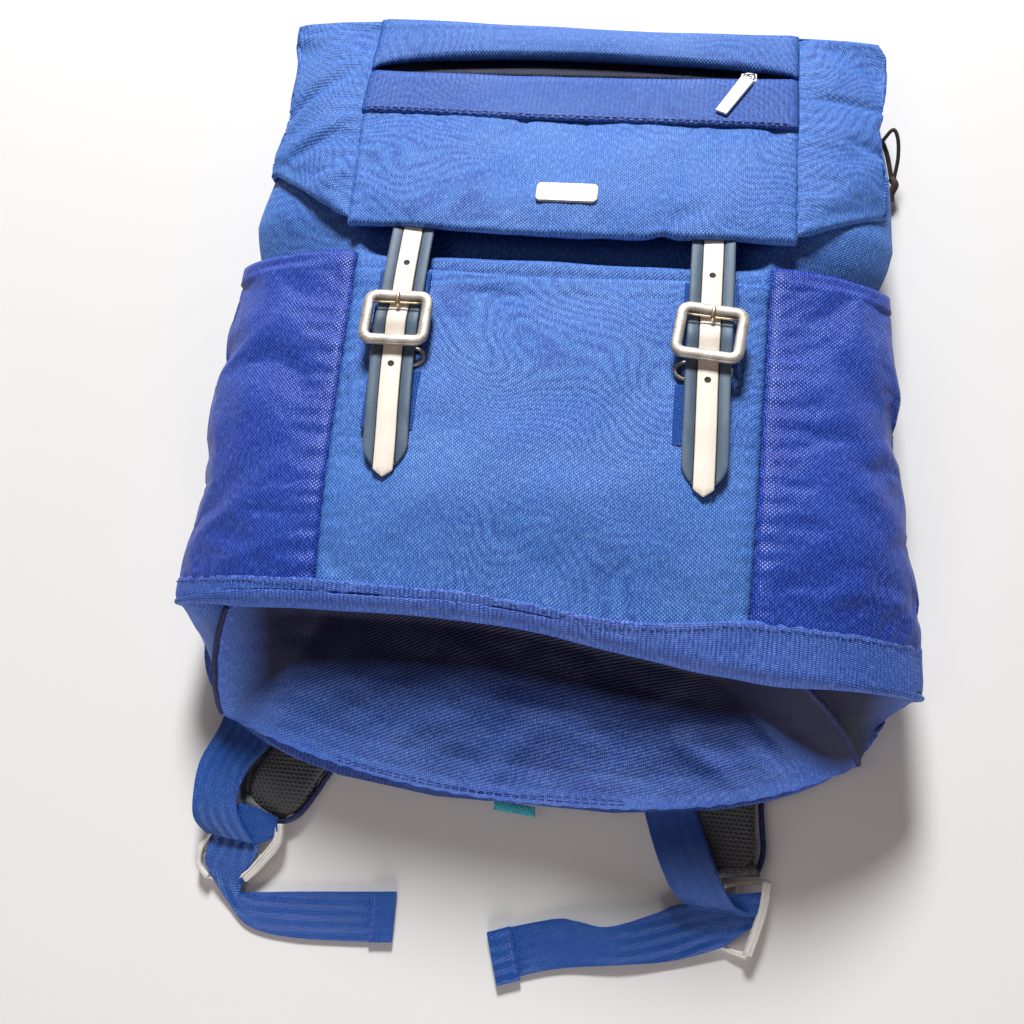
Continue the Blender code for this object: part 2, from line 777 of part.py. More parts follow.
def hang_on_joints():
    flap = ["flap_shell", "flap_hood", "flap_placket", "flap_zip_tape", "badge"]
    flap += ["belt_anchor_left", "belt_anchor_right"]
    hang("flap_axis", (0.0, HINGE_Y, HINGE_Z - 0.0005), flap)
    pull = PARTS.objects["flap_zip_pull"].location
    hang("pull_axis", pull + Vector((0.0, 0.0006, 0.0009)), ["flap_zip_pull"])
    hang("handle_axis", (0.0, HANDLE_Y, HANDLE_Z), ["grab_handle"])
    for sign in (-1, 1):
        side = side_name(sign)
        root_z = belt_z(sign, BELT_ROOT_Y) + 0.0009
        belt_pieces = ["belt_" + side, "belt_stripe_" + side, "belt_hook_" + side]
        hang("belt_axis_" + side, (sign * BELT_X, BELT_ROOT_Y + 0.0004, root_z), belt_pieces)
        frame = PARTS.objects["buckle_" + side].matrix_basis
        top_bar = frame @ Vector((0.0, BUCKLE_SIDE / 2 - BUCKLE_BAR, 0.0))
        hang("buckle_axis_" + side, top_bar, ["buckle_" + side, "prong_" + side])
        ring = PARTS.objects["closure_ring_" + side].matrix_basis
        hang("ring_axis_" + side, ring @ Vector((0.0, -0.0062, 0.0)), ["closure_ring_" + side])
        strap_x, _ = STRAP_ROUTES[sign][0]
        hang("strap_axis_" + side, (strap_x, STRAP_HINGE_Y, STRAP_THICKNESS / 2), ["shoulder_strap_" + side])
        (x, y), turn, z = LOCK_PLACES[sign]
        turned = Matrix.Rotation(math.radians(turn), 3, "Z")
        edge = Vector((x, y, z + LOCK_THICKNESS / 2)) + turned @ Vector((0.0, LOCK_LENGTH / 2, 0.0))
        hang("lock_axis_" + side, edge, ["ladder_lock_" + side, "web_tail_" + side])


clear_scene()
PARTS = bpy.data.collections.new("backpack")
CUTTERS = bpy.data.collections.new("cutters")
for collection in (PARTS, CUTTERS):
    bpy.context.scene.collection.children.link(collection)

front_panel()
bottom_panel()
back_panel()
rim_piping()
front_pocket()
mouth_binding()
flat_sheet("back_pad_lumbar", "charcoal_mesh", 0.082, -0.045, 0.062, 0.0, STRAP_THICKNESS)
flat_sheet("back_pad_upper", "charcoal_mesh", 0.032, 0.066, 0.325, 0.0, STRAP_THICKNESS)
flat_sheet("back_stiffener", "lining_grey", 0.160, 0.010, 0.370, BACK_Z + WALL + GAP, 0.0020)
flat_sheet("laptop_sleeve", "lining_grey", 0.150, 0.010, 0.325, 0.0250, 0.0018)
for sign in (-1, 1):
    gusset(sign)
    side_pocket(sign)
    belt(sign)
    belt_anchor(sign)
    buckle(sign)
    closure_tab(sign)
    closure_ring(sign)
    belt_hook(sign)
    shoulder_strap(sign)
    ladder_lock(sign)
    strap_web(sign)
    web_tail(sign)
flap_shell()
flap_strip("flap_hood", "mid_blue", 0.3664, 0.3975, 0.134, 0.0022, 3)
flap_strip("flap_placket", "mid_blue", 0.3270, 0.3615, 0.134, 0.0022, 3)
flap_strip("flap_zip_tape", "navy", 0.3620, 0.3645, ZIP_HALF_LENGTH, 0.0020, 1, 0.0003)
badge()
flap_zip_pull(flap_zip_slider())
laptop_zip()
tube("thong_pull", "brown", smooth_route(THONG_ROUTE, 4), 0.0012, 1)
grab_handle()
size_tag()
hang_on_joints()
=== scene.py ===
"""The looks of a flap-top backpack that lies on its back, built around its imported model, in metres."""

from math import atan2, copysign, cos, exp, pi, radians, sin, sqrt

import bmesh
import bpy
from mathutils import Matrix, Vector, noise


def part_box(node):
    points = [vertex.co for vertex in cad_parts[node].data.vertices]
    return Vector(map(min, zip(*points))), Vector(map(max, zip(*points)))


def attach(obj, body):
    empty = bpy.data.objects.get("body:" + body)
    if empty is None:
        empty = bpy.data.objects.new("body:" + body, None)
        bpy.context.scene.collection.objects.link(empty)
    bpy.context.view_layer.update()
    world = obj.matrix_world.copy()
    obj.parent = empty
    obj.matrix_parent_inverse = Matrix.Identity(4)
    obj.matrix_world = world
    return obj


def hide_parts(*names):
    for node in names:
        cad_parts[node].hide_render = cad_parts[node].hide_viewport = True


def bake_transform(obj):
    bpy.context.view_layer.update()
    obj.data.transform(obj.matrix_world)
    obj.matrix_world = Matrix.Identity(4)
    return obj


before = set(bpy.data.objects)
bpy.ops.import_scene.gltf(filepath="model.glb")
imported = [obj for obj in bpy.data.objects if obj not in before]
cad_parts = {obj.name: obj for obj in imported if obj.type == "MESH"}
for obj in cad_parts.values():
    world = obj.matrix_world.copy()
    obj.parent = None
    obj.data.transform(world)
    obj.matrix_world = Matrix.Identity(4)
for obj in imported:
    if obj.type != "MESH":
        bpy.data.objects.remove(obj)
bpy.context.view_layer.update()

# The bag's own sizes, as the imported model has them.
BAG_LENGTH = 0.400
BASE_LENGTH = 0.078
BACK_Z = 0.012
WALL = 0.0018
RIM_HEIGHT = 0.108
RIM_DIP = 0.007
TOP_HEIGHT = 0.040
BASE_EDGE_HEIGHT = 0.024
RIM_HALF_WIDTH = 0.206
TOP_HALF_WIDTH = 0.183
BACK_INSET = 0.012
MOUTH_Y = 0.384
POCKET_TOP = 0.224
FRONT_POCKET_TOP = 0.2165
SIDE_POCKET_TOP = 0.2285
FLAP_FRONT_Y = 0.246
FLAP_TOP_Y = 0.401
FLAP_SEAM_X = 0.134
HINGE_Z = 0.0170
HINGE_HALF_LENGTH = 0.184
ZIP_Y = 0.3636
BELT_X = 0.0875
BELT_WIDTH = 0.025
BELT_TIP_Y = 0.084
BELT_ROOT_Y = 0.2450
BELT_THICKNESS = 0.0018
STRIPE_HALF_WIDTH = 0.0059
BUCKLE_Y = 0.178
BUCKLE_SIDE = 0.040
RING_Y = 0.1480
WEB_WIDTH = 0.030
WEB_THICKNESS = 0.0014
LAPTOP_ZIP_LOW_Y = 0.2412
LAPTOP_ZIP_HIGH_Y = 0.3620
SIDES = {"left": -1, "right": 1}

# The camera: where it stands, how it is turned, and its lens for a square picture.
CAMERA_PLACE = (0.0629, -0.0744, 0.7124)
CAMERA_TURN = (13.337, 6.769, 3.817)
CAMERA_LENS = 41.56


def clamp(value, low=0.0, high=1.0):
    return max(low, min(high, value))


def mix(a, b, share):
    return a + (b - a) * share


def smooth(low, high, value):
    share = clamp((value - low) / (high - low))
    return share * share * (3 - 2 * share)


def peak(distance, width):
    """1 at no distance, falling to 0 over a width on both sides."""
    return exp(-((distance / width) ** 2))


def arch(share, power=1.0):
    """0 at both ends of a run from 0 to 1, and 1 in its middle."""
    return sin(pi * share) ** power


def near_end(share):
    """How far a share lies from the nearer end of its run."""
    return min(share, 1 - share)


def spread(low, high, count):
    return [mix(low, high, index / count) for index in range(count + 1)]


def rough(x, y, scale, seed):
    """Smooth noise from -1 to 1 over a plane, always the same."""
    return noise.noise(Vector((x * scale, y * scale, seed * 7.31)))


def mm(*numbers):
    """Points from a run of coordinates in millimetres."""
    metres = [number / 1000 for number in numbers]
    return list(zip(metres[0::3], metres[1::3], metres[2::3]))


# The bag's shape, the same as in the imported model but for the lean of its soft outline.
def front_height(y):
    """The front's height along the middle. The cloth falls a little before it rolls over the rim."""
    if y >= 0:
        rise = 1 - (min(y, BAG_LENGTH) / BAG_LENGTH) ** 1.8
        return TOP_HEIGHT + (RIM_HEIGHT - TOP_HEIGHT) * rise - RIM_DIP * (1 - smooth(0.0, 0.085, y))
    fall = clamp(1 + y / (BASE_LENGTH + 0.002))
    return BASE_EDGE_HEIGHT + (RIM_HEIGHT - RIM_DIP - BASE_EDGE_HEIGHT) * fall**1.6


def side_bulge(side, y):
    if side < 0:
        middle = 0.0045 * peak(y - 0.160, 0.050)
        return (mix(0.004, 0.0075, clamp(y / POCKET_TOP)) + middle) * (1 - smooth(0.24, 0.32, y))
    return 0.0073 * (1 - smooth(0.02, 0.20, y))


def half_width(side, y):
    y = max(y, 0.0)
    return mix(RIM_HALF_WIDTH, TOP_HALF_WIDTH, (y / BAG_LENGTH) ** 0.7) + side_bulge(side, y)


def side_height(y):
    return 0.050 - 0.012 * max(y, 0.0) / BAG_LENGTH


def seam_half_width(y):
    return mix(0.116, 0.121, clamp(y / POCKET_TOP))


def squareness(y):
    """The front's arch is round over the pockets and nearly flat under the flap."""
    return mix(3.0, 5.5, clamp((y - 0.20) / 0.14))


def top_z(x, y, lift=0.0):
    """The front's height at a point, at some lift above the skin."""
    widest = side_height(y)
    reach = clamp(abs(x) / (half_width(copysign(1, x), y) + lift))
    return widest + (front_height(y) + lift - widest) * (1 - reach ** squareness(y)) ** 0.77


def rim_shift(x, y):
    """The bottom rim lies askew: further up the bag on the left than on the right."""
    return clamp(1 - y / 0.1) * mix(0.0160, -0.0050, smooth(-0.05, 0.14, x))


def skin(turn, y, lift=0.0):
    """A point of the skin. Turn runs from -1 at the left back seam, over the front, to 1."""
    side = copysign(1, turn)
    turn = abs(turn)
    seam = seam_half_width(y)
    wide = half_width(side, y) + lift
    if turn <= 0.8:
        x = seam * turn / 0.5 if turn <= 0.5 else mix(seam, wide, sin(pi / 2 * (turn - 0.5) / 0.3))
        z = top_z(side * x, y, lift)
    else:
        share = (turn - 0.8) / 0.2
        x = mix(wide - BACK_INSET, wide, cos(pi / 2 * share))
        z = mix(side_height(y), BACK_Z + WALL + 0.0008, sin(pi / 2 * share))
    return Vector((side * x, y + rim_shift(side * x, y), z))


def side_turn(sign, low, high, u):
    """A turn from low to high on the right, and its mirror image on the left."""
    return mix(low, high, u) if sign > 0 else mix(-high, -low, u)


# Helpers that build pieces.
def link(made):
    bpy.context.scene.collection.objects.link(made)
    return made


def distances(points):
    """How far along a line each of its points lies."""
    reach = [0.0]
    for a, b in zip(points, points[1:]):
        reach.append(reach[-1] + (b - a).length)
    return reach


def mesh_object(name, vertices, faces, uvs=None, closed=False):
    """A smooth piece. The faces of a closed one are turned outwards."""
    mesh = bpy.data.meshes.new(name)
    mesh.from_pydata(vertices, [], faces)
    if uvs:
        layer = mesh.uv_layers.new(name="UVMap")
        for loop in mesh.loops:
            layer.data[loop.index].uv = uvs[loop.vertex_index]
    if closed:
        bm = bmesh.new()
        bm.from_mesh(mesh)
        bmesh.ops.recalc_face_normals(bm, faces=bm.faces)
        bm.to_mesh(mesh)
        bm.free()
    mesh.shade_smooth()
    return link(bpy.data.objects.new(name, mesh))


def grid_object(name, rows):
    """A grid mesh with UVs in metres, measured across from its middle and upwards from its first row."""
    size = len(rows[0])
    faces = []
    for j in range(len(rows) - 1):
        for i in range(size - 1):
            a = j * size + i
            faces.append((a, a + 1, a + size + 1, a + size))
    upwards = [distances(column) for column in zip(*rows)]
    uvs = []
    for j, row in enumerate(rows):
        across = distances(row)
        uvs += [(across[i] - across[size // 2], upwards[i][j]) for i in range(size)]
    return mesh_object(name, [point for row in rows for point in row], faces, uvs)


def raise_relief(made, relief, columns, rows):
    """Moves each point of a grid along its normal by relief(u, v, point)."""
    normals = [vertex.normal.copy() for vertex in made.data.vertices]
    for index, vertex in enumerate(made.data.vertices):
        j, i = divmod(index, columns + 1)
        vertex.co += normals[index] * relief(i / columns, j / rows, vertex.co)


def freeze(made):
    """Applies a piece's modifiers to its mesh."""
    graph = bpy.context.evaluated_depsgraph_get()
    graph.update()
    baked = bpy.data.meshes.new_from_object(made.evaluated_get(graph))
    made.modifiers.clear()
    old = made.data
    made.data = baked
    bpy.data.meshes.remove(old)
    return made


# The cloth simulation: its length, then a panel's spare cloth, inner pressure and furthest move.
SIMULATED_FRAMES = 20
PANEL_GROWTH = 0.022
PANEL_PRESSURE = 0.6
PANEL_CAP = 0.0045


def run_cloth(made, growth, pressure, stiffness, bending, still=()):
    """Runs Blender's cloth on a piece and gives where its points end up."""
    if still:
        group = made.vertex_groups.new(name="still")
        group.add(still, 1.0, "REPLACE")
    modifier = made.modifiers.new("cloth", "CLOTH")
    settings = modifier.settings
    settings.quality = 5
    settings.mass = 0.2
    settings.tension_stiffness = stiffness
    settings.compression_stiffness = stiffness
    settings.shear_stiffness = stiffness / 3
    settings.bending_stiffness = bending
    settings.shrink_min = -growth
    settings.use_pressure = True
    settings.uniform_pressure_force = pressure
    settings.effector_weights.gravity = 0.0
    if still:
        settings.vertex_group_mass = "still"
    scene = bpy.context.scene
    for number in range(1, SIMULATED_FRAMES + 1):
        scene.frame_set(number)
    graph = bpy.context.evaluated_depsgraph_get()
    places = [vertex.co.copy() for vertex in made.evaluated_get(graph).data.vertices]
    made.modifiers.remove(modifier)
    made.vertex_groups.clear()
    scene.frame_set(1)
    return places


def capped(start, end, cap):
    move = end - start
    if move.length > cap:
        move *= cap / move.length
    return start + move


def settle(made, still, outward):
    """Lets a slightly roomy panel buckle between its seams, as cloth does over soft contents.

    outward is how far it may swell. What lies on it needs that room.
    """
    starts = [vertex.co.copy() for vertex in made.data.vertices]
    normals = [vertex.normal.copy() for vertex in made.data.vertices]
    ends = run_cloth(made, PANEL_GROWTH, PANEL_PRESSURE, 12.0, 0.4, still)
    for vertex, start, end, normal in zip(made.data.vertices, starts, ends, normals):
        move = capped(start, end, PANEL_CAP) - start
        swell = move.dot(normal)
        if swell > 0:
            move -= normal * (swell - outward * swell / PANEL_CAP)
        vertex.co = start + move


def inflate(made, cap, lowest):
    """Fills a closed pad: a fresh even mesh swells under pressure, then is smoothed once."""
    even = made.modifiers.new("even", "REMESH")
    even.mode = "VOXEL"
    even.voxel_size = 0.0045
    freeze(made)
    starts = [vertex.co.copy() for vertex in made.data.vertices]
    ends = run_cloth(made, 0.0, 4.0, 15.0, 0.5)
    for vertex, start, end in zip(made.data.vertices, starts, ends):
        vertex.co = capped(start, end, cap)
        vertex.co.z = max(vertex.co.z, lowest)
    finer = made.modifiers.new("finer", "SUBSURF")
    finer.levels = 1
    freeze(made)
    made.data.shade_smooth()
    return made


def dress(made, finish, body, replaced=()):
    """Gives a piece its material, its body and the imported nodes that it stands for."""
    made.data.materials.clear()
    made.data.materials.append(finish)
    if body:
        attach(made, body)
    if replaced:
        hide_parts(*replaced)
    return made


def thicken(made, thickness, side):
    solid = made.modifiers.new("thickness", "SOLIDIFY")
    solid.thickness = thickness
    solid.offset = side


def fabric(
    name, columns, rows, place, thickness, finish, body, replaced=(),
    relief=None, side=1, held=None, outward=0.0012,
):
    """A cloth panel over place(u, v), with u across and v upwards, thickened to one side.

    Where held is given, the panel settles as cloth between the points that held(u, v) keeps still.
    """
    spots = [(i / columns, j / rows) for j in range(rows + 1) for i in range(columns + 1)]
    places = [place(u, v) for u, v in spots]
    made = grid_object(name, [places[k : k + columns + 1] for k in range(0, len(places), columns + 1)])
    if relief:
        raise_relief(made, relief, columns, rows)
    if held:
        settle(made, [index for index, (u, v) in enumerate(spots) if held(u, v)], outward)
    thicken(made, thickness, side)
    return dress(freeze(made), finish, body, replaced)


def smooth_route(points, steps):
    """A Catmull-Rom curve through the points, with its ends repeated."""
    knots = [Vector(points[0])] + [Vector(p) for p in points] + [Vector(points[-1])]
    route = []
    for index in range(len(points) - 1):
        a, b, c, d = knots[index : index + 4]
        for step in range(steps):
            t = step / steps
            near = b + (c - a) * (0.5 * t) + (a * 2 - b * 5 + c * 4 - d) * (0.5 * t * t)
            route.append(near + (b * 3 - a - c * 3 + d) * (0.5 * t**3))
    route.append(Vector(points[-1]))
    return route


def tube_faces(size, count, closed=False, first=0):
    """Faces between rings of points, count rings of size points, with ends unless it is closed."""
    faces = []
    for j in range(count if closed else count - 1):
        low = first + j * size
        high = first + (j + 1) % count * size
        for i in range(size):
            k = (i + 1) % size
            faces.append((low + i, low + k, high + k, high + i))
    if not closed:
        faces.append(tuple(range(first, first + size))[::-1])
        faces.append(tuple(range(first + (count - 1) * size, first + count * size)))
    return faces


def sweep(name, route, section, closed=False, up=(0, 0, 1)):
    """A solid swept along a route.

    section is its outline as (across, up) pairs, or a function that gives one for a share of the route.
    """
    count = len(route)
    rings = []
    for index, centre in enumerate(route):
        if closed:
            run = route[(index + 1) % count] - route[index - 1]
        else:
            run = route[min(index + 1, count - 1)] - route[max(index - 1, 0)]
        run.normalize()
        across = run.cross(Vector(up))
        if across.length < 1e-6:
            across = Vector((1, 0, 0))
        across.normalize()
        top = across.cross(run).normalized()
        outline = section(index / (count - 1)) if callable(section) else section
        rings.append([centre + across * a + top * b for a, b in outline])
    size = len(rings[0])
    around = distances(rings[0])
    uvs = [(a, along) for along in distances(route) for a in around]
    points = [point for ring in rings for point in ring]
    return mesh_object(name, points, tube_faces(size, count, closed), uvs, closed=True)


def round_section(half_across, half_up, count=12):
    angles = [2 * pi * step / count for step in range(count)]
    return [(half_across * cos(angle), half_up * sin(angle)) for angle in angles]


def flat_section(width, thickness, cells):
    """A flat strap's outline, with narrowed edges."""
    half = width / 2
    top = [(x, thickness / 2) for x in spread(-half + thickness / 3, half - thickness / 3, cells)]
    return [(-half, 0.0)] + top + [(half, 0.0)] + [(x, -z) for x, z in reversed(top)]


def mirrored(left, middle):
    """An outline's left half and middle point, with its right half added."""
    return left + [middle] + [(-x, z) for x, z in reversed(left)]


def along_front(name, x, low, high, steps, section, height):
    """A strap that lies along the front from low to high, at height(y)."""
    return sweep(name, [Vector((x, y, height(y))) for y in spread(low, high, steps)], section)


STITCH_SIDES = 6
STITCH_LIFT = 0.0002


def thread_line(name, points, body, dash=0.0032, gap=0.0012, radius=0.00028):
    """A row of stitches along a route: short raised dashes that dip in at their ends."""
    vertices = []
    faces = []
    lengths = distances(points)

    def at(distance):
        index = next((i for i, end in enumerate(lengths[1:]) if distance <= end), len(points) - 2)
        span = max(lengths[index + 1] - lengths[index], 1e-9)
        return points[index].lerp(points[index + 1], clamp((distance - lengths[index]) / span))

    start = 0.0
    shares = (0.0, 0.2, 0.5, 0.8, 1.0)
    while start + dash < lengths[-1]:
        run = (at(start + dash) - at(start)).normalized()
        across = run.cross(Vector((0, 0, 1))).normalized()
        top = across.cross(run)
        faces += tube_faces(STITCH_SIDES, len(shares), first=len(vertices))
        for share in shares:
            centre = at(start + dash * share) + top * (STITCH_LIFT if 0 < share < 1 else -radius)
            outline = round_section(radius, radius, STITCH_SIDES)
            vertices += [centre + across * a + top * b for a, b in outline]
        start += dash + gap
    return dress(mesh_object(name, vertices, faces, closed=True), THREAD, body)


def crease_relief(creases, x, y):
    """The height of soft folds at a point.

    Each is a ridge or groove along a short line, in mm: x, y, x, y, width, height.
    """
    total = 0.0
    for crease in creases:
        x0, y0, x1, y1, width, height = (value / 1000 for value in crease)
        run = Vector((x1 - x0, y1 - y0))
        length = run.length
        run /= length
        offset = Vector((x - x0, y - y0))
        along = offset.dot(run)
        inside = clamp(along / length)
        fade = arch(clamp(0.08 + 0.84 * inside), 0.8)
        total += height * fade * peak(offset.cross(run), width) * peak(along - inside * length, width)
    return total


def pucker(distance, along, seed, height=0.0005, pitch=0.009, reach=0.010):
    """The small gathers beside a sewn seam."""
    wobble = 0.5 + 0.5 * noise.noise(Vector((along * 40, seed, 0.0)))
    wave = sin(2 * pi * along / pitch + 3.0 * noise.noise(Vector((along * 30, seed, 5.0))))
    return height * wobble * wave * peak(distance, reach)


# Materials.
def linear(colour):
    """A colour given in the usual 0 to 255 values, as the shader wants it."""
    parts = [value / 255 for value in colour]
    return (*(p / 12.92 if p <= 0.04045 else ((p + 0.055) / 1.055) ** 2.4 for p in parts), 1.0)


class Finish:
    """A procedural material, with short names for the nodes that it is made of."""

    def __init__(self, name):
        self.material = bpy.data.materials.new(name)
        self.material.use_nodes = True
        self.tree = self.material.node_tree

    def fill(self, node, values):
        for key, value in values.items():
            if isinstance(value, bpy.types.NodeSocket):
                self.tree.links.new(value, node.inputs[key])
            else:
                node.inputs[key].default_value = value

    def make(self, kind, output, values, **settings):
        """A new node with its inputs filled in. Gives one of its outputs."""
        made = self.tree.nodes.new("ShaderNode" + kind)
        for key, value in settings.items():
            setattr(made, key, value)
        self.fill(made, values)
        return made.outputs[output]

    def done(self, values):
        """Fills in the shader's own sockets and gives the material."""
        self.fill(self.tree.nodes["Principled BSDF"], values)
        return self.material

    def math(self, operation, a, b=0.0):
        return self.make("Math", 0, {0: a, 1: b}, operation=operation)

    def times(self, a, b):
        return self.math("MULTIPLY", a, b)

    def plus(self, a, b):
        return self.math("ADD", a, b)

    def sine(self, value):
        return self.math("SINE", value)

    def flipped(self, value):
        return self.math("SUBTRACT", 1.0, value)

    def blend(self, share, a, b):
        """Between two colours, each from a node or in 0 to 255 values."""
        a, b = (linear(colour) if isinstance(colour, tuple) else colour for colour in (a, b))
        return self.make("Mix", "Result", {"Factor": share, "A": a, "B": b}, data_type="RGBA")

    def uv(self):
        return self.make("UVMap", 0, {}, uv_map="UVMap")

    def place(self):
        return self.make("TexCoord", "Object", {})

    def axes(self, vector):
        """A vector's x and y."""
        x = self.make("SeparateXYZ", "X", {0: vector})
        return x, x.node.outputs["Y"]

    def scaled(self, vector, factors):
        return self.make("VectorMath", 0, {0: vector, 1: factors}, operation="MULTIPLY")

    def noise(self, vector, scale, detail=3.0, roughness=0.5, distortion=0.0):
        values = {"Vector": vector, "Scale": scale, "Detail": detail}
        return self.make("TexNoise", "Fac", values | {"Roughness": roughness, "Distortion": distortion})

    def ramp(self, value, low, high, start=0.0, end=1.0):
        values = {"Value": value, "From Min": low, "From Max": high, "To Min": start, "To Max": end}
        return self.make("MapRange", "Result", values)

    def bump(self, height, distance, strength=1.0, after=None):
        values = {"Height": height, "Distance": distance, "Strength": strength}
        return self.make("Bump", "Normal", values if after is None else values | {"Normal": after})


def cloth(
    name, colour, gap, light, sheen=0.15, across=0.0011, along=0.0021, slant=0.5, ripple=0.62,
    roughness=0.62, fold=None,
):
    """Woven polyester: dashes of thread, darker gaps, watered bands, a soft sheen and small wrinkles.

    fold gives where, along the cloth from its first row, the painted shade in the base's valley under the rim
    fades out, and the near-black colour of that painted shade.
    """
    f = Finish(name)
    uv = f.uv()
    place = f.place()
    x, y = f.axes(uv)
    column = f.math("FLOOR", f.math("DIVIDE", x, across))
    shifted = f.plus(f.math("DIVIDE", y, along), f.times(column, slant))
    ribs = f.math("ABSOLUTE", f.sine(f.times(x, pi / across)))
    dashes = f.ramp(f.sine(f.times(shifted, 2 * pi)), -1.0, 1.0)
    height = f.times(f.math("POWER", ribs, 0.6), f.math("POWER", dashes, 0.7))
    wander = f.noise(place, 11.0, 1.0)
    bands = f.plus(f.plus(f.times(y, 1100.0), f.times(wander, 190.0)), f.times(x, 260.0))
    where = f.ramp(f.noise(place, 9.0, 1.0), 0.36, 0.60)
    watered = f.times(f.ramp(f.sine(bands), -0.6, 1.0), f.times(where, ripple))
    patches = f.ramp(f.noise(place, 22.0, 4.0, 0.6), 0.30, 0.72)
    base = f.blend(f.times(patches, 0.40), colour, light)
    base = f.blend(watered, base, gap)
    base = f.blend(f.times(f.flipped(height), 0.90), base, gap)
    thread = f.noise(f.scaled(uv, (900.0, 260.0, 1.0)), 1.0, 1.0)
    base = f.blend(f.ramp(thread, 0.45, 0.75, 0.0, 0.42), base, light)
    # Painted shade: the valley under the rolled rim is darkened towards a near-black blue. It is full along
    # the middle, weaker towards the corners, and fades out along the cloth between low and high.
    if fold:
        low, high, valley_shade_colour = fold
        corner, _ = f.axes(place)
        middle = f.times(f.ramp(corner, -0.178, -0.152, 0.3, 1.0), f.ramp(corner, 0.182, 0.206, 1.0, 0.6))
        edge = f.ramp(f.plus(y, f.times(wander, 0.020)), low, high, 1.0, 0.0)
        base = f.blend(f.times(middle, edge), base, valley_shade_colour)
    wrinkles = f.bump(f.noise(place, 75.0, 3.0, 0.55, 0.6), 0.0016, 0.45)
    return f.done({
        "Base Color": base,
        "Roughness": f.ramp(patches, 0.0, 1.0, roughness, roughness - 0.14),
        "Sheen Weight": sheen,
        "Sheen Roughness": 0.35,
        "Sheen Tint": linear(light),
        "Specular IOR Level": 0.35,
        "Normal": f.bump(height, 0.00026, 1.0, wrinkles),
    })


def webbing_finish(name, colour, gap, light, rib=0.0013):
    """Herringbone webbing: slanted ribs that turn about the middle."""
    f = Finish(name)
    x, y = f.axes(f.uv())
    turned = f.times(f.math("PINGPONG", x, 0.0032), 2 * pi / rib * 0.8)
    ribs = f.ramp(f.sine(f.plus(f.times(y, 2 * pi / rib), turned)), -1.0, 1.0)
    cross = f.ramp(f.sine(f.times(x, 2 * pi / 0.0011)), -1.0, 1.0)
    height = f.plus(f.times(ribs, 0.65), f.times(cross, 0.35))
    wear = f.ramp(f.noise(f.place(), 150.0, 3.0, 0.6), 0.5, 0.85, 0.0, 0.12)
    base = f.blend(f.times(f.flipped(height), 0.80), colour, gap)
    return f.done({
        "Base Color": f.blend(wear, base, light),
        "Roughness": 0.38,
        "Sheen Weight": 0.1,
        "Sheen Roughness": 0.3,
        "Normal": f.bump(height, 0.00070),
    })


def leatherette(name, colour, dark, light, roughness=0.5):
    """Coated strap leather: fine pebble grain, soft scuffs and slightly worn colour."""
    f = Finish(name)
    place = f.place()
    grain = f.make("TexVoronoi", "Distance", {"Vector": place, "Scale": 1400.0}, feature="F1")
    scuffs = f.noise(f.scaled(place, (1.0, 0.35, 1.0)), 120.0, 5.0, 0.65)
    base = f.blend(f.ramp(f.noise(place, 35.0, 3.0), 0.3, 0.7), dark, colour)
    base = f.blend(f.ramp(scuffs, 0.55, 0.75, 0.0, 0.5), base, light)
    return f.done({
        "Base Color": f.blend(f.ramp(grain, 0.0, 0.9, 0.22, 0.0), base, dark),
        "Roughness": f.ramp(scuffs, 0.3, 0.8, roughness, roughness + 0.18),
        "Normal": f.bump(grain, 0.00012, 0.8, f.bump(scuffs, 0.0004, 0.4)),
    })


def worn_metal(name, colour, dark, light, roughness, pitting, metallic=0.6):
    """Plated metal with darkened pits, fine scratches and brighter worn patches."""
    f = Finish(name)
    place = f.place()
    pits = f.noise(place, 900.0, 4.0, 0.7)
    scratches = f.noise(f.scaled(place, (1.0, 12.0, 1.0)), 240.0, 3.0, 0.7)
    base = f.blend(f.ramp(f.noise(place, 110.0, 3.0, 0.6), 0.35, 0.65), colour, light)
    return f.done({
        "Base Color": f.blend(f.ramp(pits, 0.56, 0.68, 0.0, pitting), base, dark),
        "Metallic": metallic,
        "Roughness": f.ramp(scratches, 0.3, 0.7, roughness, roughness + 0.16),
        "Normal": f.bump(pits, 0.00008, 0.6, f.bump(scratches, 0.00005, 0.5)),
    })


def moulded_plastic(name, colour, dark, roughness=0.35):
    """Moulded plastic with a faint mould texture and greying in its low places."""
    f = Finish(name)
    place = f.place()
    grime = f.noise(place, 90.0, 4.0, 0.6)
    grain = f.noise(place, 1500.0, 2.0, 0.5)
    return f.done({
        "Base Color": f.blend(f.ramp(grime, 0.5, 0.8, 0.0, 0.5), colour, dark),
        "Roughness": f.ramp(grime, 0.3, 0.8, roughness, roughness + 0.2),
        "Subsurface Weight": 0.08,
        "Subsurface Radius": (0.002, 0.002, 0.002),
        "Normal": f.bump(grain, 0.00006, 0.7, f.bump(grime, 0.0003, 0.3)),
    })


def spacer_mesh(name, colour, thread, pitch_x=0.0028, pitch_y=0.0024):
    """Padded spacer mesh: rows of small dark holes in a knitted face."""
    f = Finish(name)
    place = f.place()
    x, y = f.axes(place)
    row = f.math("FLOOR", f.math("DIVIDE", y, pitch_y))
    shifted = f.plus(x, f.times(f.math("MODULO", row, 2.0), pitch_x / 2))
    across = f.math("ABSOLUTE", f.sine(f.times(shifted, pi / pitch_x)))
    holes = f.times(across, f.math("ABSOLUTE", f.sine(f.times(y, pi / pitch_y))))
    lint = f.ramp(f.noise(place, 45.0, 4.0, 0.65), 0.5, 0.8, 0.0, 0.4)
    base = f.blend(f.ramp(holes, 0.45, 0.8), thread, colour)
    knit = f.bump(f.noise(place, 1200.0, 2.0), 0.0003, 0.5)
    return f.done({
        "Base Color": f.blend(lint, base, thread),
        "Roughness": 0.85,
        "Sheen Weight": 0.4,
        "Normal": f.bump(f.flipped(holes), 0.0006, 0.8, knit),
    })


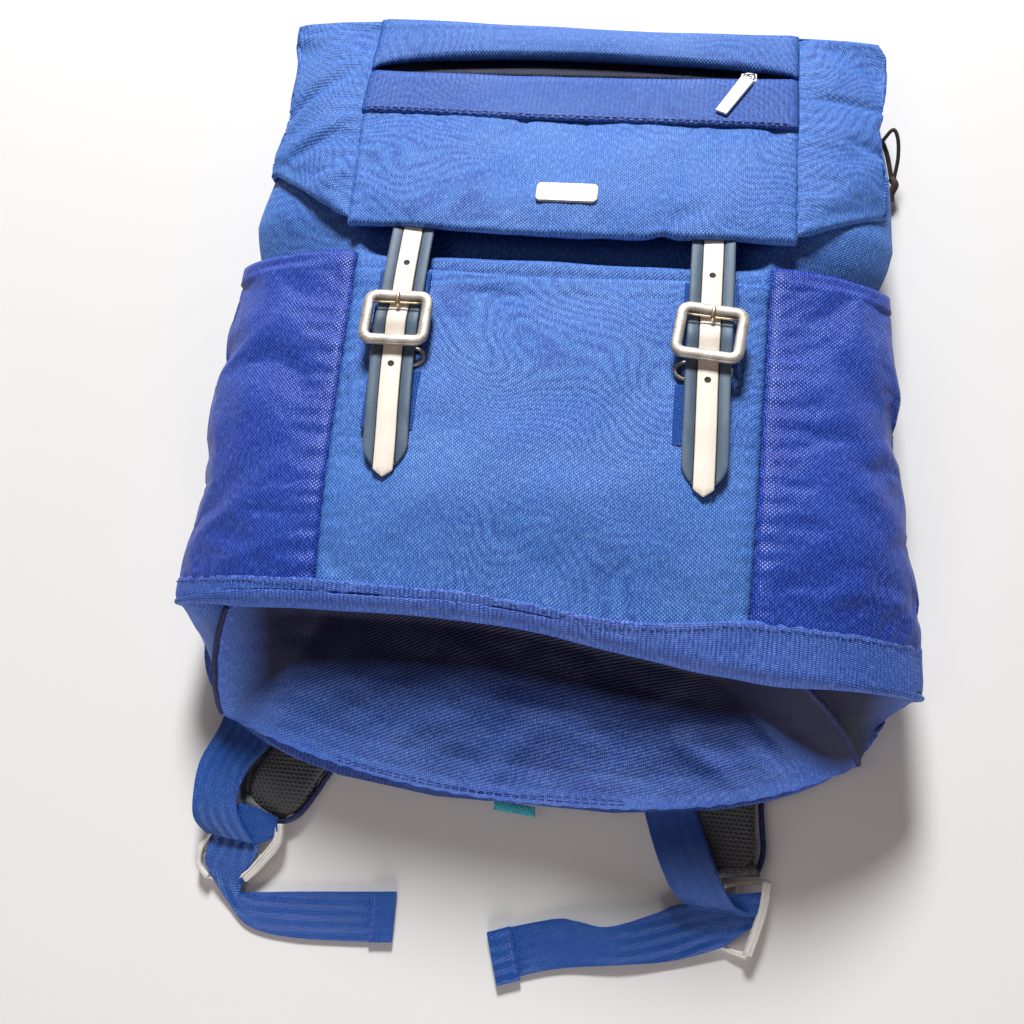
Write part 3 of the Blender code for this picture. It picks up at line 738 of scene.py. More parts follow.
def pale_floor():
    f = Finish("floor_finish")
    tone = f.noise(f.place(), 3.0, 4.0, 0.5)
    base = f.blend(tone, (233, 232, 231), (228, 228, 226))
    return f.done({"Base Color": base, "Roughness": 0.42, "Specular IOR Level": 0.3})


# The camera, the floor and the light.
def set_camera():
    data = bpy.data.cameras.new("view")
    data.lens = CAMERA_LENS
    data.clip_start = 0.01
    camera = link(bpy.data.objects.new("view", data))
    tilt, lean, roll = (radians(value) for value in CAMERA_TURN)
    turned = Matrix.Rotation(tilt, 4, "X") @ Matrix.Rotation(lean, 4, "Y") @ Matrix.Rotation(roll, 4, "Z")
    camera.matrix_world = Matrix.Translation(CAMERA_PLACE) @ turned
    bpy.context.scene.camera = camera


def set_floor():
    reach = 4.0
    mesh = bpy.data.meshes.new("floor")
    corners = [(-reach, -reach, 0.0), (reach, -reach, 0.0), (reach, reach, 0.0), (-reach, reach, 0.0)]
    mesh.from_pydata(corners, [], [(0, 1, 2, 3)])
    mesh.materials.append(pale_floor())
    link(bpy.data.objects.new("floor", mesh))


def area_light(name, place, target, size, power, colour):
    data = bpy.data.lights.new(name, "AREA")
    data.shape = "DISK"
    data.size = size
    data.energy = power
    data.color = colour
    lamp = link(bpy.data.objects.new(name, data))
    lamp.location = place
    lamp.rotation_mode = "QUATERNION"
    lamp.rotation_quaternion = (Vector(target) - Vector(place)).to_track_quat("-Z", "Y")


def set_light():
    world = bpy.data.worlds.new("studio")
    bpy.context.scene.world = world
    world.use_nodes = True
    sky = world.node_tree.nodes["Background"]
    sky.inputs["Color"].default_value = (1.0, 0.76, 0.67, 1.0)
    sky.inputs["Strength"].default_value = 0.08
    area_light("key", (-0.25, 2.90, 1.95), (0.0, 0.1, 0.0), 0.85, 186.0, (0.98, 0.99, 1.0))
    area_light("front", (0.05, -1.65, 0.32), (0.0, 0.0, 0.03), 1.2, 23.0, (0.98, 0.92, 0.92))
    area_light("fill", (-0.9, -0.1, 2.0), (0.0, 0.0, 0.0), 1.0, 2.5, (1.0, 0.92, 0.86))
    bpy.context.scene.view_settings.view_transform = "Standard"


# The thong on the laptop zip, the one loose cord on the bag, built here as a fixed curve with a strand and a
# knot.
THONG_WIDTH = 0.0024
THONG_ROUTE = mm(192.5, 348, 20, 197.5, 353, 24, 201, 348, 22, 202.5, 338, 16, 201.5, 327, 10, 201, 317, 6)
STRAND_ROUTE = mm(191.5, 350, 18, 196, 340, 15, 200.4, 324, 9.6)
KNOT_ROUTE = mm(199.8, 327, 9.6, 202.2, 322.8, 9.6, 200.4, 318, 7, 200.6, 313, 5.2)


def thong():
    route = smooth_route(THONG_ROUTE, 8)
    curve = bpy.data.curves.new("thong_pull_leather", "CURVE")
    curve.dimensions = "3D"
    curve.bevel_depth = THONG_WIDTH / 2
    curve.bevel_resolution = 3
    curve.use_fill_caps = True
    spline = curve.splines.new("POLY")
    spline.points.add(len(route) - 1)
    for point, place in zip(spline.points, route):
        point.co = (*place, 1.0)
    made = link(bpy.data.objects.new("thong_pull_leather", curve))
    dress(made, LEATHER, "laptop_slider", ["thong_pull"])
    strand = sweep("thong_pull_strand", smooth_route(STRAND_ROUTE, 8), round_section(0.0015, 0.0006, 10))
    dress(strand, LEATHER, "laptop_slider")

    def knot_section(share):
        return round_section(0.0024, mix(0.0022, 0.0010, share), 10)

    knot = sweep("thong_pull_knot", smooth_route(KNOT_ROUTE, 6), knot_section)
    dress(knot, LEATHER, "laptop_slider")
    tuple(THONG_ROUTE[0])
    distances(route)[-1]


# The bag's body.
def panel_depth(y):
    """How far the front panel sinks: behind the pocket, and again under the flap's edge."""
    behind_pocket = mix(0.013, 0.0030, smooth(0.170, 0.212, y))
    under_flap = mix(0.0004, 0.0150, smooth(0.2235, 0.2320, y)) * (1 - smooth(0.270, 0.320, y))
    return behind_pocket if y < 0.2200 else under_flap


def front_panel():
    def place(u, v):
        y = mix(0.0006, MOUTH_Y, v)
        turn = mix(-0.4995, 0.4995, u)
        point = skin(turn, y)
        point.z -= panel_depth(y) * (1 - abs(turn / 0.5) ** 6) * clamp((y + 0.02) / 0.06)
        return point

    def relief(u, v, point):
        return 0.0012 * rough(point.x, point.y, 22, 1) * arch(u)

    fabric("front_panel_cloth", 60, 90, place, 0.0012, BLUE, "bag", ["front_panel"], relief, -1)


def gusset(side):
    sign = SIDES[side]

    def place(u, v):
        y = mix(0.0006, MOUTH_Y, v)
        turn = side_turn(sign, 0.5005, 1.0, u)
        middle = arch(clamp((abs(turn) - 0.5) / 0.42), 0.6)
        behind_pocket = 1 - clamp((y - POCKET_TOP) / 0.035) ** 0.8
        hollow = middle * behind_pocket * clamp((y + 0.01) / 0.08)
        proud = (0.0075 if sign > 0 else 0.002) * middle * smooth(0.20, 0.25, y) * (1 - smooth(0.29, 0.36, y))
        return skin(turn, y, proud - 0.014 * hollow)

    def relief(u, v, point):
        return 0.0022 * rough(point.z + 0.4, point.y, 26, 2 + sign) * arch(u) * arch(v)

    name = "gusset_" + side
    fabric(name + "_cloth", 48, 110, place, 0.0012, BLUE, "bag", [name], relief, -1)


def pocket_low_y(turn):
    """The seam where the pockets end and the base's cloth begins, higher on the right."""
    return mix(0.0125, 0.0075, smooth(-0.8, -0.2, turn)) + 0.0155 * smooth(0.15, 0.56, turn)


def pocket_held(u, v):
    return v < 0.02 or near_end(u) < 0.02 or v > 0.955


FRONT_POCKET_CREASES = [
    (-110, 170, -60, 205, 10, 1.6),
    (20, 85, 75, 20, 9, 1.8),
    (-20, 60, 40, 15, 8, -1.4),
    (100, 30, 60, 60, 6, 1.6),
    (-105, 30, -60, 75, 8, 1.4),
    (-40, 120, 10, 175, 12, -1.2),
    (30, 130, 60, 190, 10, 1.2),
    (-115, 90, -70, 100, 7, -1.0),
]


def front_pocket():
    def place(u, v):
        turn = mix(-0.4985, 0.4985, u)
        point = skin(turn, mix(pocket_low_y(turn), FRONT_POCKET_TOP, v), 0.0012)
        point.y -= 0.004 * (1 - (2 * u - 1) ** 2) * smooth(0.7, 1.0, v)
        return point

    def relief(u, v, point):
        lumps = 0.0030 * rough(point.x, point.y, 16, 3) + 0.0010 * rough(point.x, point.y, 48, 4)
        lumps += crease_relief(FRONT_POCKET_CREASES, point.x, point.y)
        total = arch(clamp(u), 0.5) * arch(clamp(v * 0.92), 0.5) * lumps
        edge = near_end(u) * 0.235
        total += pucker(edge, point.y, 1.0) - 0.0020 * peak(edge, 0.0026)
        return total + pucker(v * 0.22, point.x, 2.0, 0.0006) + 0.0007 * smooth(0.944, 0.950, v)

    fabric(
        "front_pocket_cloth", 92, 88, place, 0.0012, BLUE, "bag", ["front_pocket"],
        relief, 1, pocket_held,
    )


POCKET_CREASES = {
    "left": [(-205, 150, -160, 185, 7, 2.0), (-200, 60, -150, 100, 8, -1.8), (-190, 30, -140, 45, 6, 1.8)],
    "right": [
        (150, 200, 185, 160, 8, 2.0),
        (160, 110, 205, 80, 8, 2.2),
        (150, 60, 200, 45, 7, -2.0),
        (150, 30, 175, 50, 6, 1.6),
    ],
}


def side_pocket(side):
    sign = SIDES[side]

    def place(u, v):
        turn = side_turn(sign, 0.5015, 0.96, u)
        return skin(turn, mix(pocket_low_y(turn), SIDE_POCKET_TOP, v), 0.0012)

    def relief(u, v, point):
        slant = point.y * 0.9 + (point.x - point.z) * 0.5
        drape = 0.0050 * noise.noise(Vector((slant * 26, point.z * 12, 9.0 + sign)))
        fine = 0.0010 * rough(point.x, point.y, 60, 6 + sign)
        folds = crease_relief(POCKET_CREASES[side], point.x, point.y)
        total = arch(u, 0.6) * arch(clamp(v * 0.9), 0.5) * (drape + fine + folds + 0.0022)
        edge = (u if sign > 0 else 1 - u) * 0.13
        total += pucker(edge, point.y, 3.0 + sign, 0.0006, 0.011) - 0.0020 * peak(edge, 0.0026)
        return total + pucker(v * 0.22, point.x, 6.0, 0.0006) + 0.0006 * smooth(0.945, 0.952, v)

    name = "side_pocket_" + side
    fabric(
        name + "_cloth", 60, 88, place, 0.0011, VIOLET, "bag", [name],
        relief, 1, pocket_held, 0.0030,
    )


BASE_CORNER = {"left": (-0.184, -0.046), "right": (0.187, -0.043)}
BASE_END_Z = 0.0148
CORNER_TURN = 0.74


def base_end(turn):
    """Where the base meets the back panel, from the left back seam to the right one."""
    corner_x, corner_y = BASE_CORNER["left" if turn < 0 else "right"]
    share = abs(turn) / CORNER_TURN
    if share <= 1:
        power = 2.1 if turn < 0 else 2.8
        return Vector((corner_x * share, mix(-0.0800, corner_y, share**power), BASE_END_Z))
    seam = skin(copysign(1, turn), 0.0)
    inner = (abs(turn) - CORNER_TURN) / (1 - CORNER_TURN)
    return Vector((mix(corner_x, seam.x, inner), mix(corner_y, seam.y, inner), BASE_END_Z))


# The base's shape from under its rim to its back edge: how far along, how far out and how far down.
BASE_PROFILE = [
    (0.000, 0.02, 0.02), (0.025, -0.02, 0.07), (0.050, -0.10, 0.15), (0.080, -0.15, 0.33),
    (0.120, -0.10, 0.52), (0.180, 0.05, 0.645), (0.300, 0.25, 0.675), (0.450, 0.44, 0.690),
    (0.600, 0.62, 0.735), (0.750, 0.79, 0.790), (0.860, 0.91, 0.860), (0.930, 0.975, 0.930),
    (1.000, 1.000, 1.000),
]


def base_profile(v):
    for (a, out_a, down_a), (b, out_b, down_b) in zip(BASE_PROFILE, BASE_PROFILE[1:]):
        if v <= b:
            share = (v - a) / (b - a)
            return mix(out_a, out_b, share), mix(down_a, down_b, share)
    return 1.0, 1.0


BASE_CREASES = [
    (120, -58, 85, -40, 6, 3.0),
    (150, -50, 125, -30, 6, -3.0),
    (-20, -70, 10, -35, 8, 2.2),
    (-140, -40, -100, -35, 8, 1.6),
]


def corner_turn(turn):
    """Where on the rim the base's corner seams begin, which is further in than where they end."""
    begins = 0.612 if turn < 0 else 0.545
    share = abs(turn) / CORNER_TURN
    if share <= 1:
        return copysign(begins * share, turn)
    return copysign(mix(begins, 1.0, (abs(turn) - CORNER_TURN) / (1 - CORNER_TURN)), turn)


def roll_swell(turn):
    """The rolled rim is full between the corners and flat beyond them."""
    return (1 - smooth(0.50, 0.66, turn)) * (1 - smooth(0.56, 0.72, -turn))


BASE_COLUMNS = 200
BASE_ROWS = 84


def base():
    def place(u, v):
        turn = mix(-1.0, 1.0, u)
        rim_turn = corner_turn(turn)
        swell = roll_swell(rim_turn)
        start = skin(rim_turn, 0.0) + Vector((0, 0.004 * swell, -0.004 - 0.008 * swell))
        end = base_end(turn)
        out, down = base_profile(v)
        flat = smooth(CORNER_TURN - 0.12, CORNER_TURN, abs(turn))
        point = start.lerp(end, mix(out, v, flat))
        point.z = mix(start.z, end.z, mix(down, v**1.15, flat))
        beyond = smooth(CORNER_TURN, CORNER_TURN + 0.10, abs(turn)) * (1 - smooth(0.93, 1.0, abs(turn)))
        fold = peak(abs(turn) - CORNER_TURN, 0.030) * arch(v, 0.6)
        point.x += copysign(0.005 * fold, turn)
        point.z += 0.007 * fold - (0.014 if turn > 0 else 0.007) * arch(clamp(v * 1.15)) * beyond
        return point

    def relief(u, v, point):
        lumps = 0.0030 * rough(point.x, point.y, 24, 11) + 0.0010 * rough(point.x, point.y + point.z, 70, 12)
        total = arch(u, 0.4) * arch(v, 0.6) * (lumps + crease_relief(BASE_CREASES, point.x, point.y))
        corner = abs(2 * u - 1) - CORNER_TURN
        total -= 0.0018 * peak(corner, 0.006) * arch(v, 0.3)
        return total + pucker((1 - v) * 0.12, point.x, 8.0, 0.0008, 0.012)

    made = fabric(
        "base_cloth", BASE_COLUMNS, BASE_ROWS, place, 0.0014, BASE_BLUE_PAINTED_LIGHT_AND_SHADE, "bag",
        ["bottom_panel"], relief,
    )
    for side, column in (("left", 26), ("right", 174)):
        corners = [row * (BASE_COLUMNS + 1) + column for row in range(8, BASE_ROWS, 2)]
        points = [made.data.vertices[index].co.copy() for index in corners]
        seam = sweep("base_seam_" + side, points, round_section(0.0019, 0.0019, 8))
        dress(seam, NAVY, "bag")
    edge = []
    for x in spread(-0.110, 0.060, 70):
        corner_x, _ = BASE_CORNER["left" if x < 0 else "right"]
        point = base_end(CORNER_TURN * x / corner_x * copysign(1, x))
        edge.append(point + Vector((0.0, 0.0024, 0.0070)))
    thread_line("base_stitching", edge, "bag", 0.0036, 0.0014, 0.00040)


ROLL_RADIUS = 0.0078
ROLL_ROUND_SHARE = 0.58


def rim_roll():
    """The base's cloth, which rolls over the rim and runs up to the pockets' seam."""

    def place(u, v):
        turn = mix(-0.86, 0.86, u)
        rim = skin(turn, 0.0)
        radius = mix(0.0030, ROLL_RADIUS, roll_swell(turn))
        radius *= 1 + 0.10 * noise.noise(Vector((turn * 9, 2.0, 0.0)))
        lean = smooth(0.62, 0.86, abs(turn))
        inward = Vector((-copysign(lean, turn), 1 - 0.5 * lean, 0.0)).normalized()
        centre = rim + inward * radius * 0.62 - Vector((0, 0, radius * 0.88))
        if v <= ROLL_ROUND_SHARE:
            angle = mix(radians(250), radians(90), v / ROLL_ROUND_SHARE)
            return centre + inward * radius * cos(angle) + Vector((0, 0, radius * sin(angle)))
        top = centre + Vector((0, 0, radius))
        rise = (v - ROLL_ROUND_SHARE) / (1 - ROLL_ROUND_SHARE)
        low = max(top.y - rim_shift(rim.x, 0.0), 0.0)
        on_skin = skin(turn, mix(low, pocket_low_y(turn) + 0.0030, rise), mix(0.0009, 0.0021, rise))
        point = top.lerp(on_skin, smooth(0.0, 0.35, rise))
        point.z -= 0.0012 * smooth(0.93, 1.0, rise)
        return point

    def relief(u, v, point):
        total = 0.0009 * rough(point.x, point.y, 40, 13) * arch(u, 0.4) * smooth(0.0, 0.3, v)
        return total + pucker((1 - v) * 0.03, point.x, 15.0, 0.0005, 0.010)

    fabric("rim_roll_cloth", 190, 34, place, 0.0012, ROLL_BLUE, "bag", ["rim_piping"], relief)
    for name, low, high in (("left", -0.80, -0.47), ("right", 0.10, 0.80)):
        seam = [skin(turn, pocket_low_y(turn) + 0.0008, 0.0040) for turn in spread(low, high, 80)]
        thread_line("rim_stitching_" + name, seam, "bag", 0.0026, 0.0012, 0.00024)


def back_panel():
    def place(u, v):
        y = mix(-BASE_LENGTH - 0.0030, FLAP_TOP_Y - 0.0015, v)
        narrow = (1 - clamp(-y / 0.082) ** 2.2) ** (1 / 2.6)
        reach = (half_width(1, y) - BACK_INSET) * narrow + 0.002
        x = mix(-reach, reach, u)
        return Vector((x, y, BACK_Z + 0.0004 + 0.0004 * rough(x, y, 20, 14)))

    fabric("back_panel_cloth", 60, 70, place, 0.0010, ROLL_BLUE, "bag", ["back_panel"])


def back_pads():
    for name in ("back_pad_lumbar", "back_pad_upper"):
        low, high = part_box(name)
        middle = (low + high) / 2
        half = (high - low) / 2

        def place(u, v):
            a = 2 * u - 1
            b = 2 * v - 1
            x = half.x * a * sqrt(1 - 0.25 * b * b)
            y = half.y * b * sqrt(1 - 0.25 * a * a)
            depth = (half.z * 2 - 0.001) * clamp(1 - max(abs(a), abs(b)) ** 6) ** 0.5
            depth *= 1 - 0.35 * peak(abs(x) - half.x * 0.42, 0.006)
            return Vector((middle.x + x, middle.y + y, high.z - 0.0006 - depth))

        made = fabric(name + "_foam", 60, 36, place, 0.0008, MESH, "bag", [name], None, -1)


# The flap.
def flap_lift(y):
    return mix(0.0100, 0.0060, clamp((y - FLAP_FRONT_Y) / (FLAP_TOP_Y - FLAP_FRONT_Y)))


def flap_top_y(x):
    """The top edge lies askew: further up on the left."""
    return FLAP_TOP_Y + 0.0070 * (1 - smooth(-0.15, 0.12, x))


def flap_seam_x(side, y):
    return side * (FLAP_SEAM_X - (0.006 * (1 - smooth(FLAP_FRONT_Y, 0.36, y)) if side < 0 else 0.0))


def flap_share(x):
    return clamp((x + FLAP_SEAM_X) / (2 * FLAP_SEAM_X))


def flap_point(x, y, lift=0.0):
    return Vector((x, y, top_z(x, y, flap_lift(y) + lift)))


def hem_path(distance, start_y, hem, radius):
    """How a turned-under edge runs: back under, round its front, then on. Gives y and lift."""
    bend = pi * radius
    if distance < hem:
        return start_y + radius + hem - distance, -2 * radius
    if distance < hem + bend:
        angle = (distance - hem) / radius
        return start_y + radius - radius * sin(angle), -radius - radius * cos(angle)
    return start_y + radius + distance - hem - bend, 0.0


def flap_edge_y(x):
    sag = 0.0068 * arch(mix(0.02, 0.90, flap_share(x)), 0.6)
    return FLAP_FRONT_Y + 0.0012 - sag + 0.0026 * peak(x - 0.058, 0.006)


def flap_droop(x, y):
    """The flap's front edge hangs lower where no belt holds it up."""
    near_belt = peak(abs(x) - BELT_X, 0.020)
    near_seam = clamp(abs(x) / FLAP_SEAM_X) ** 6
    return 0.0036 * (1 - near_belt) * (1 - near_seam) * (1 - smooth(FLAP_FRONT_Y - 0.010, 0.268, y))


FLAP_CREASES = [
    (20, 285, 75, 310, 14, 1.4),
    (-110, 262, -70, 252, 7, 1.2),
    (60, 250, 85, 262, 6, -1.2),
    (100, 256, 128, 250, 6, 1.2),
    (-20, 275, 20, 300, 18, -1.0),
]


def flap_centre():
    hem = 0.009
    radius = 0.0017
    length = hem + pi * radius + 0.114

    def place(u, v):
        left = flap_seam_x(-1, FLAP_FRONT_Y + 0.115 * v)
        x = mix(left, FLAP_SEAM_X, u)
        y, lift = hem_path(v * length, flap_edge_y(x), hem, radius)
        point = flap_point(x, y, lift)
        seam = min(abs(x - left), abs(FLAP_SEAM_X - x))
        point.z -= flap_droop(x, y) + 0.0012 * peak(seam, 0.0022)
        return point

    def relief(u, v, point):
        total = 0.0020 * rough(point.x, point.y, 18, 21) + 0.0008 * rough(point.x, point.y, 50, 23)
        total += crease_relief(FLAP_CREASES, point.x, point.y)
        edge = v * length - hem
        frill = 0.0008 * rough(point.x, 0.0, 60, 22) * peak(max(0.0, edge), 0.012)
        total = clamp(edge / 0.004) * (arch(u, 0.5) * total + frill)
        return total + pucker(near_end(u) * 0.268, point.y, 9.0, 0.0004)

    def held(u, v):
        return v < 0.14 or v > 0.75 or near_end(u) < 0.015

    fabric("flap_centre", 110, 70, place, 0.0011, BLUE, "flap", ["flap_shell"], relief, 1, held)


def flap_hood():
    """The zip hood, whose lower edge bows up between its ends."""
    hem = 0.006
    radius = 0.0024
    span = 0.040
    folded = hem + pi * radius

    def place(u, v):
        x = mix(-FLAP_SEAM_X, FLAP_SEAM_X, u)
        start = 0.3660 + 0.0145 * arch(flap_share(x), 0.5) * mix(1.0, 0.62, flap_share(x))
        distance = v * (folded + span)
        y, lift = hem_path(distance, start, hem, radius)
        if distance > folded:
            share = (distance - folded) / span
            y = mix(start + radius, flap_top_y(x) + 0.0012, share)
            lift = 0.0032 * arch(0.12 + 0.88 * share, 0.8) - 0.0036 * smooth(0.80, 1.0, share)
        point = flap_point(x, y, 0.0030 + lift * arch(u, 0.4))
        point.z -= 0.0020 * peak(near_end(u) * 2 * FLAP_SEAM_X, 0.0024)
        return point

    def relief(u, v, point):
        return arch(u, 0.5) * 0.0008 * rough(point.x, point.y * 2, 22, 24)

    fabric("flap_hood_cloth", 110, 34, place, 0.0011, HOOD_PAINTED_SHADE, "flap", ["flap_hood"], relief)


def placket_low_y(x):
    return mix(0.3300, 0.3245, flap_share(x)) - 0.0030 * arch(flap_share(x), 0.8)


def flap_placket():
    hem = 0.004
    radius = 0.0009

    def place(u, v):
        x = mix(-FLAP_SEAM_X, FLAP_SEAM_X, u)
        start = placket_low_y(x)
        total = 0.3662 - 0.0052 * arch(flap_share(x), 0.5) - start
        y, lift = hem_path(v * (hem + pi * radius + total - radius), start, hem, radius)
        point = flap_point(x, y, lift + 0.0028 - 0.0024 * smooth(total - 0.006, total, y - start))
        point.z -= 0.0016 * peak(near_end(u) * 2 * FLAP_SEAM_X, 0.0024)
        return point

    def relief(u, v, point):
        return arch(u, 0.5) * 0.0007 * rough(point.x, point.y, 34, 26) * smooth(0.1, 0.2, v)

    fabric(
        "flap_placket_cloth", 110, 30, place, 0.0009, PLACKET, "flap", ["flap_placket"], relief
    )
    points = [flap_point(x, placket_low_y(x) + 0.0022, 0.0040) for x in spread(-0.131, 0.131, 60)]
    thread_line("placket_stitching", points, "flap")


def wing_edge_y(side, x):
    seam = abs(flap_seam_x(side, FLAP_FRONT_Y))
    high = 0.2915 if side < 0 else 0.2775
    return mix(FLAP_FRONT_Y + 0.001, high, clamp((abs(x) - seam) / (0.192 - seam)) ** 0.92)


WING_CREASES = {
    "left": [
        (-182, 335, -150, 362, 6, -2.6),
        (-186, 322, -160, 345, 7, 2.2),
        (-176, 296, -150, 312, 5, -2.2),
        (-178, 304, -140, 325, 6, 2.0),
        (-150, 272, -128, 290, 6, 1.8),
    ],
    "right": [
        (140, 352, 184, 350, 4, -1.4),
        (140, 296, 180, 300, 8, 1.6),
        (142, 268, 182, 290, 7, 2.0),
        (160, 320, 186, 316, 6, -1.2),
    ],
}
WING_TOP_SHARE = 0.72


def flap_wing(side):
    sign = SIDES[side]
    hem = 0.008
    radius = 0.0016

    def across(w, y):
        """The wing's x and z at a share w of its way round the bag's side."""
        seam = abs(flap_seam_x(sign, y))
        lift = flap_lift(y)
        corner = 0.006 * smooth(0.37, 0.40, y) if sign < 0 else -0.012 * smooth(0.385, 0.404, y) ** 2
        slim = 0.0055 * (1 - smooth(0.34, 0.40, y)) if sign < 0 else 0.0090 * (1 - smooth(0.32, 0.40, y))
        wide = half_width(sign, y) + lift - 0.001 + corner * 0.5 - slim
        if w <= WING_TOP_SHARE:
            x = mix(seam, wide, sin(pi / 2 * w / WING_TOP_SHARE))
            return x, top_z(sign * min(x, wide - 0.001), y, lift)
        angle = pi / 2 * (w - WING_TOP_SHARE) / (1 - WING_TOP_SHARE) * 0.55
        return mix(wide - BACK_INSET, wide, cos(angle)), mix(side_height(y), BACK_Z + WALL, sin(angle))

    def place(u, v):
        w = u if sign > 0 else 1 - u
        x, _ = across(w, FLAP_FRONT_Y + 0.02)
        start = wing_edge_y(sign, x) + 0.006 * smooth(WING_TOP_SHARE, 1.0, w)
        total = hem + pi * radius + flap_top_y(sign * x) - start - radius
        y, lift = hem_path(v * total, start, hem, radius)
        x, z = across(w, y)
        top_side = 1 - smooth(0.60, 0.9, w)
        return Vector((sign * (x + lift * (1 - top_side)), y, z + lift * top_side))

    def relief(u, v, point):
        w = u if sign > 0 else 1 - u
        total = 0.0026 * rough(point.x, point.y, 30, 30 + sign) * arch(clamp(w), 0.4)
        total = smooth(0.05, 0.14, v) * (total + crease_relief(WING_CREASES[side], point.x, point.y))
        total += 0.0016 * arch(w) * smooth(0.06, 0.2, v) - 0.0012 * peak(w * 0.07, 0.0025)
        return total + pucker(w * 0.07, point.y, 12.0 + sign, 0.0004)

    def held(u, v):
        return v < 0.15 or v > 0.98 or near_end(u) < 0.02

    name = "flap_wing_" + side
    fabric(name, 64, 80, place, 0.0011, BLUE, "flap", (), relief, 1, held, 0.0030)


def flap_wrap():
    """The flap's top edge, which turns down to the hinge seam."""

    def place(u, v):
        turn = mix(-1.0, 1.0, u)
        side = copysign(1, turn)
        lift = flap_lift(FLAP_TOP_Y)
        wide = half_width(side, FLAP_TOP_Y) + lift + (0.0020 if side < 0 else -0.0050)
        x = side * wide * sin(pi / 2 * abs(turn)) ** 0.75
        z = top_z(x * 0.995, FLAP_TOP_Y, lift)
        y = mix(flap_top_y(x), FLAP_TOP_Y + 0.0042, v) + 0.0022 * arch(v)
        y -= 0.006 * smooth(0.9, 1.0, turn) * (1 - v) + 0.0070 * smooth(0.965, 1.0, abs(turn))
        low_x = (HINGE_HALF_LENGTH + (0.0045 if side < 0 else 0.0)) * turn
        return Vector((mix(x, low_x, v), y, mix(z, HINGE_Z, v)))

    def relief(u, v, point):
        return 0.0008 * rough(point.x, point.z, 30, 33) * arch(v)

    fabric("flap_wrap", 120, 14, place, 0.0012, BLUE, "flap", (), relief, 1)


COIL_STEPS = 5


def flap_zip():
    def place(u, v):
        x = mix(-FLAP_SEAM_X + 0.002, FLAP_SEAM_X - 0.002, u)
        return flap_point(x, mix(0.3560, 0.3860, v), -0.0044)

    fabric("flap_zip_tape_cloth", 60, 12, place, 0.0008, ZIP_DARK, "flap", ["flap_zip_tape"])
    steps = 130 * COIL_STEPS
    for row, offset in enumerate((-0.0012, 0.0012)):
        route = []
        for step in range(steps):
            angle = 2 * pi * step / COIL_STEPS
            y = ZIP_Y + 0.0010 + offset + 0.0010 * cos(angle)
            route.append(flap_point(mix(-0.126, 0.126, step / steps), y, -0.0026 + 0.0007 * sin(angle)))
        coil = sweep(f"flap_zip_coil_{row}", route, round_section(0.00042, 0.00042, 5))
        dress(coil, ZIP_DARK, "flap")


# Metal fittings.
def seat(x, y, z, slope, skew=0.0):
    """The place of a fitting that lies on a slope."""
    return Matrix.Translation((x, y, z)) @ Matrix.Rotation(slope, 4, "X") @ Matrix.Rotation(skew, 4, "Z")


def belt_slope(y, lift):
    return atan2(top_z(BELT_X, y + 0.01, lift) - top_z(BELT_X, y - 0.01, lift), 0.02)


def soft_box(name, low, high, bevel):
    bm = bmesh.new()
    bmesh.ops.create_cube(bm, size=1.0)
    for vertex in bm.verts:
        share = vertex.co + Vector((0.5, 0.5, 0.5))
        vertex.co = Vector(mix(low[i], high[i], share[i]) for i in range(3))
    bmesh.ops.bevel(bm, geom=bm.edges[:], offset=bevel, segments=3, affect="EDGES", profile=0.6)
    mesh = bpy.data.meshes.new(name)
    bm.to_mesh(mesh)
    bm.free()
    mesh.shade_smooth()
    return link(bpy.data.objects.new(name, mesh))


def join(name, pieces):
    """One piece from several, in place."""
    bm = bmesh.new()
    for piece in pieces:
        bm.from_mesh(piece.data)
        bpy.data.objects.remove(piece)
    mesh = bpy.data.meshes.new(name)
    bm.to_mesh(mesh)
    bm.free()
    mesh.shade_smooth()
    return link(bpy.data.objects.new(name, mesh))


def flap_slider_and_pull():
    z = top_z(0.0, ZIP_Y, flap_lift(ZIP_Y) + 0.0006)
    slope = atan2(top_z(0, ZIP_Y + 0.01) - top_z(0, ZIP_Y - 0.01), 0.02)
    plate = soft_box("slider_plate", (-0.0048, -0.0034, 0.0), (0.0048, 0.0034, 0.0016), 0.0006)
    bridge_route = smooth_route(mm(-3, 0, 1.2, -2.2, 0, 3.4, 2.2, 0, 3.4, 3, 0, 1.2), 5)
    bridge = sweep("slider_bridge", bridge_route, round_section(0.0011, 0.0007, 8), up=(0, 1, 0))
    slider = join("flap_zip_slider_body", [plate, bridge])
    slider.matrix_world = seat(0.104, ZIP_Y, z, slope)
    dress(slider, SILVER, "flap_slider", ["flap_zip_slider"])
    bar = soft_box("pull_bar", (-0.0045, -0.0350, 0.0), (0.0045, -0.0010, 0.0026), 0.0009)
    for vertex in bar.data.vertices:
        if vertex.co.y < -0.0330:
            vertex.co.x *= 0.86
            vertex.co.z *= 0.72
    eye_route = smooth_route(mm(-2.4, -1.2, 1.2, -2, 2.4, 1.2, 2, 2.4, 1.2, 2.4, -1.2, 1.2), 5)
    eye = sweep("pull_eye", eye_route, round_section(0.0008, 0.0008, 8))
    pull = join("flap_zip_pull_bar", [bar, eye])
    pull.matrix_world = seat(0.1035, ZIP_Y - 0.0026, z + 0.0030, slope - 0.04, radians(-27))
    dress(pull, SILVER, "flap_pull", ["flap_zip_pull"])


QUARTERS = ((1, 1, 0), (-1, 1, 90), (-1, -1, 180), (1, -1, 270))


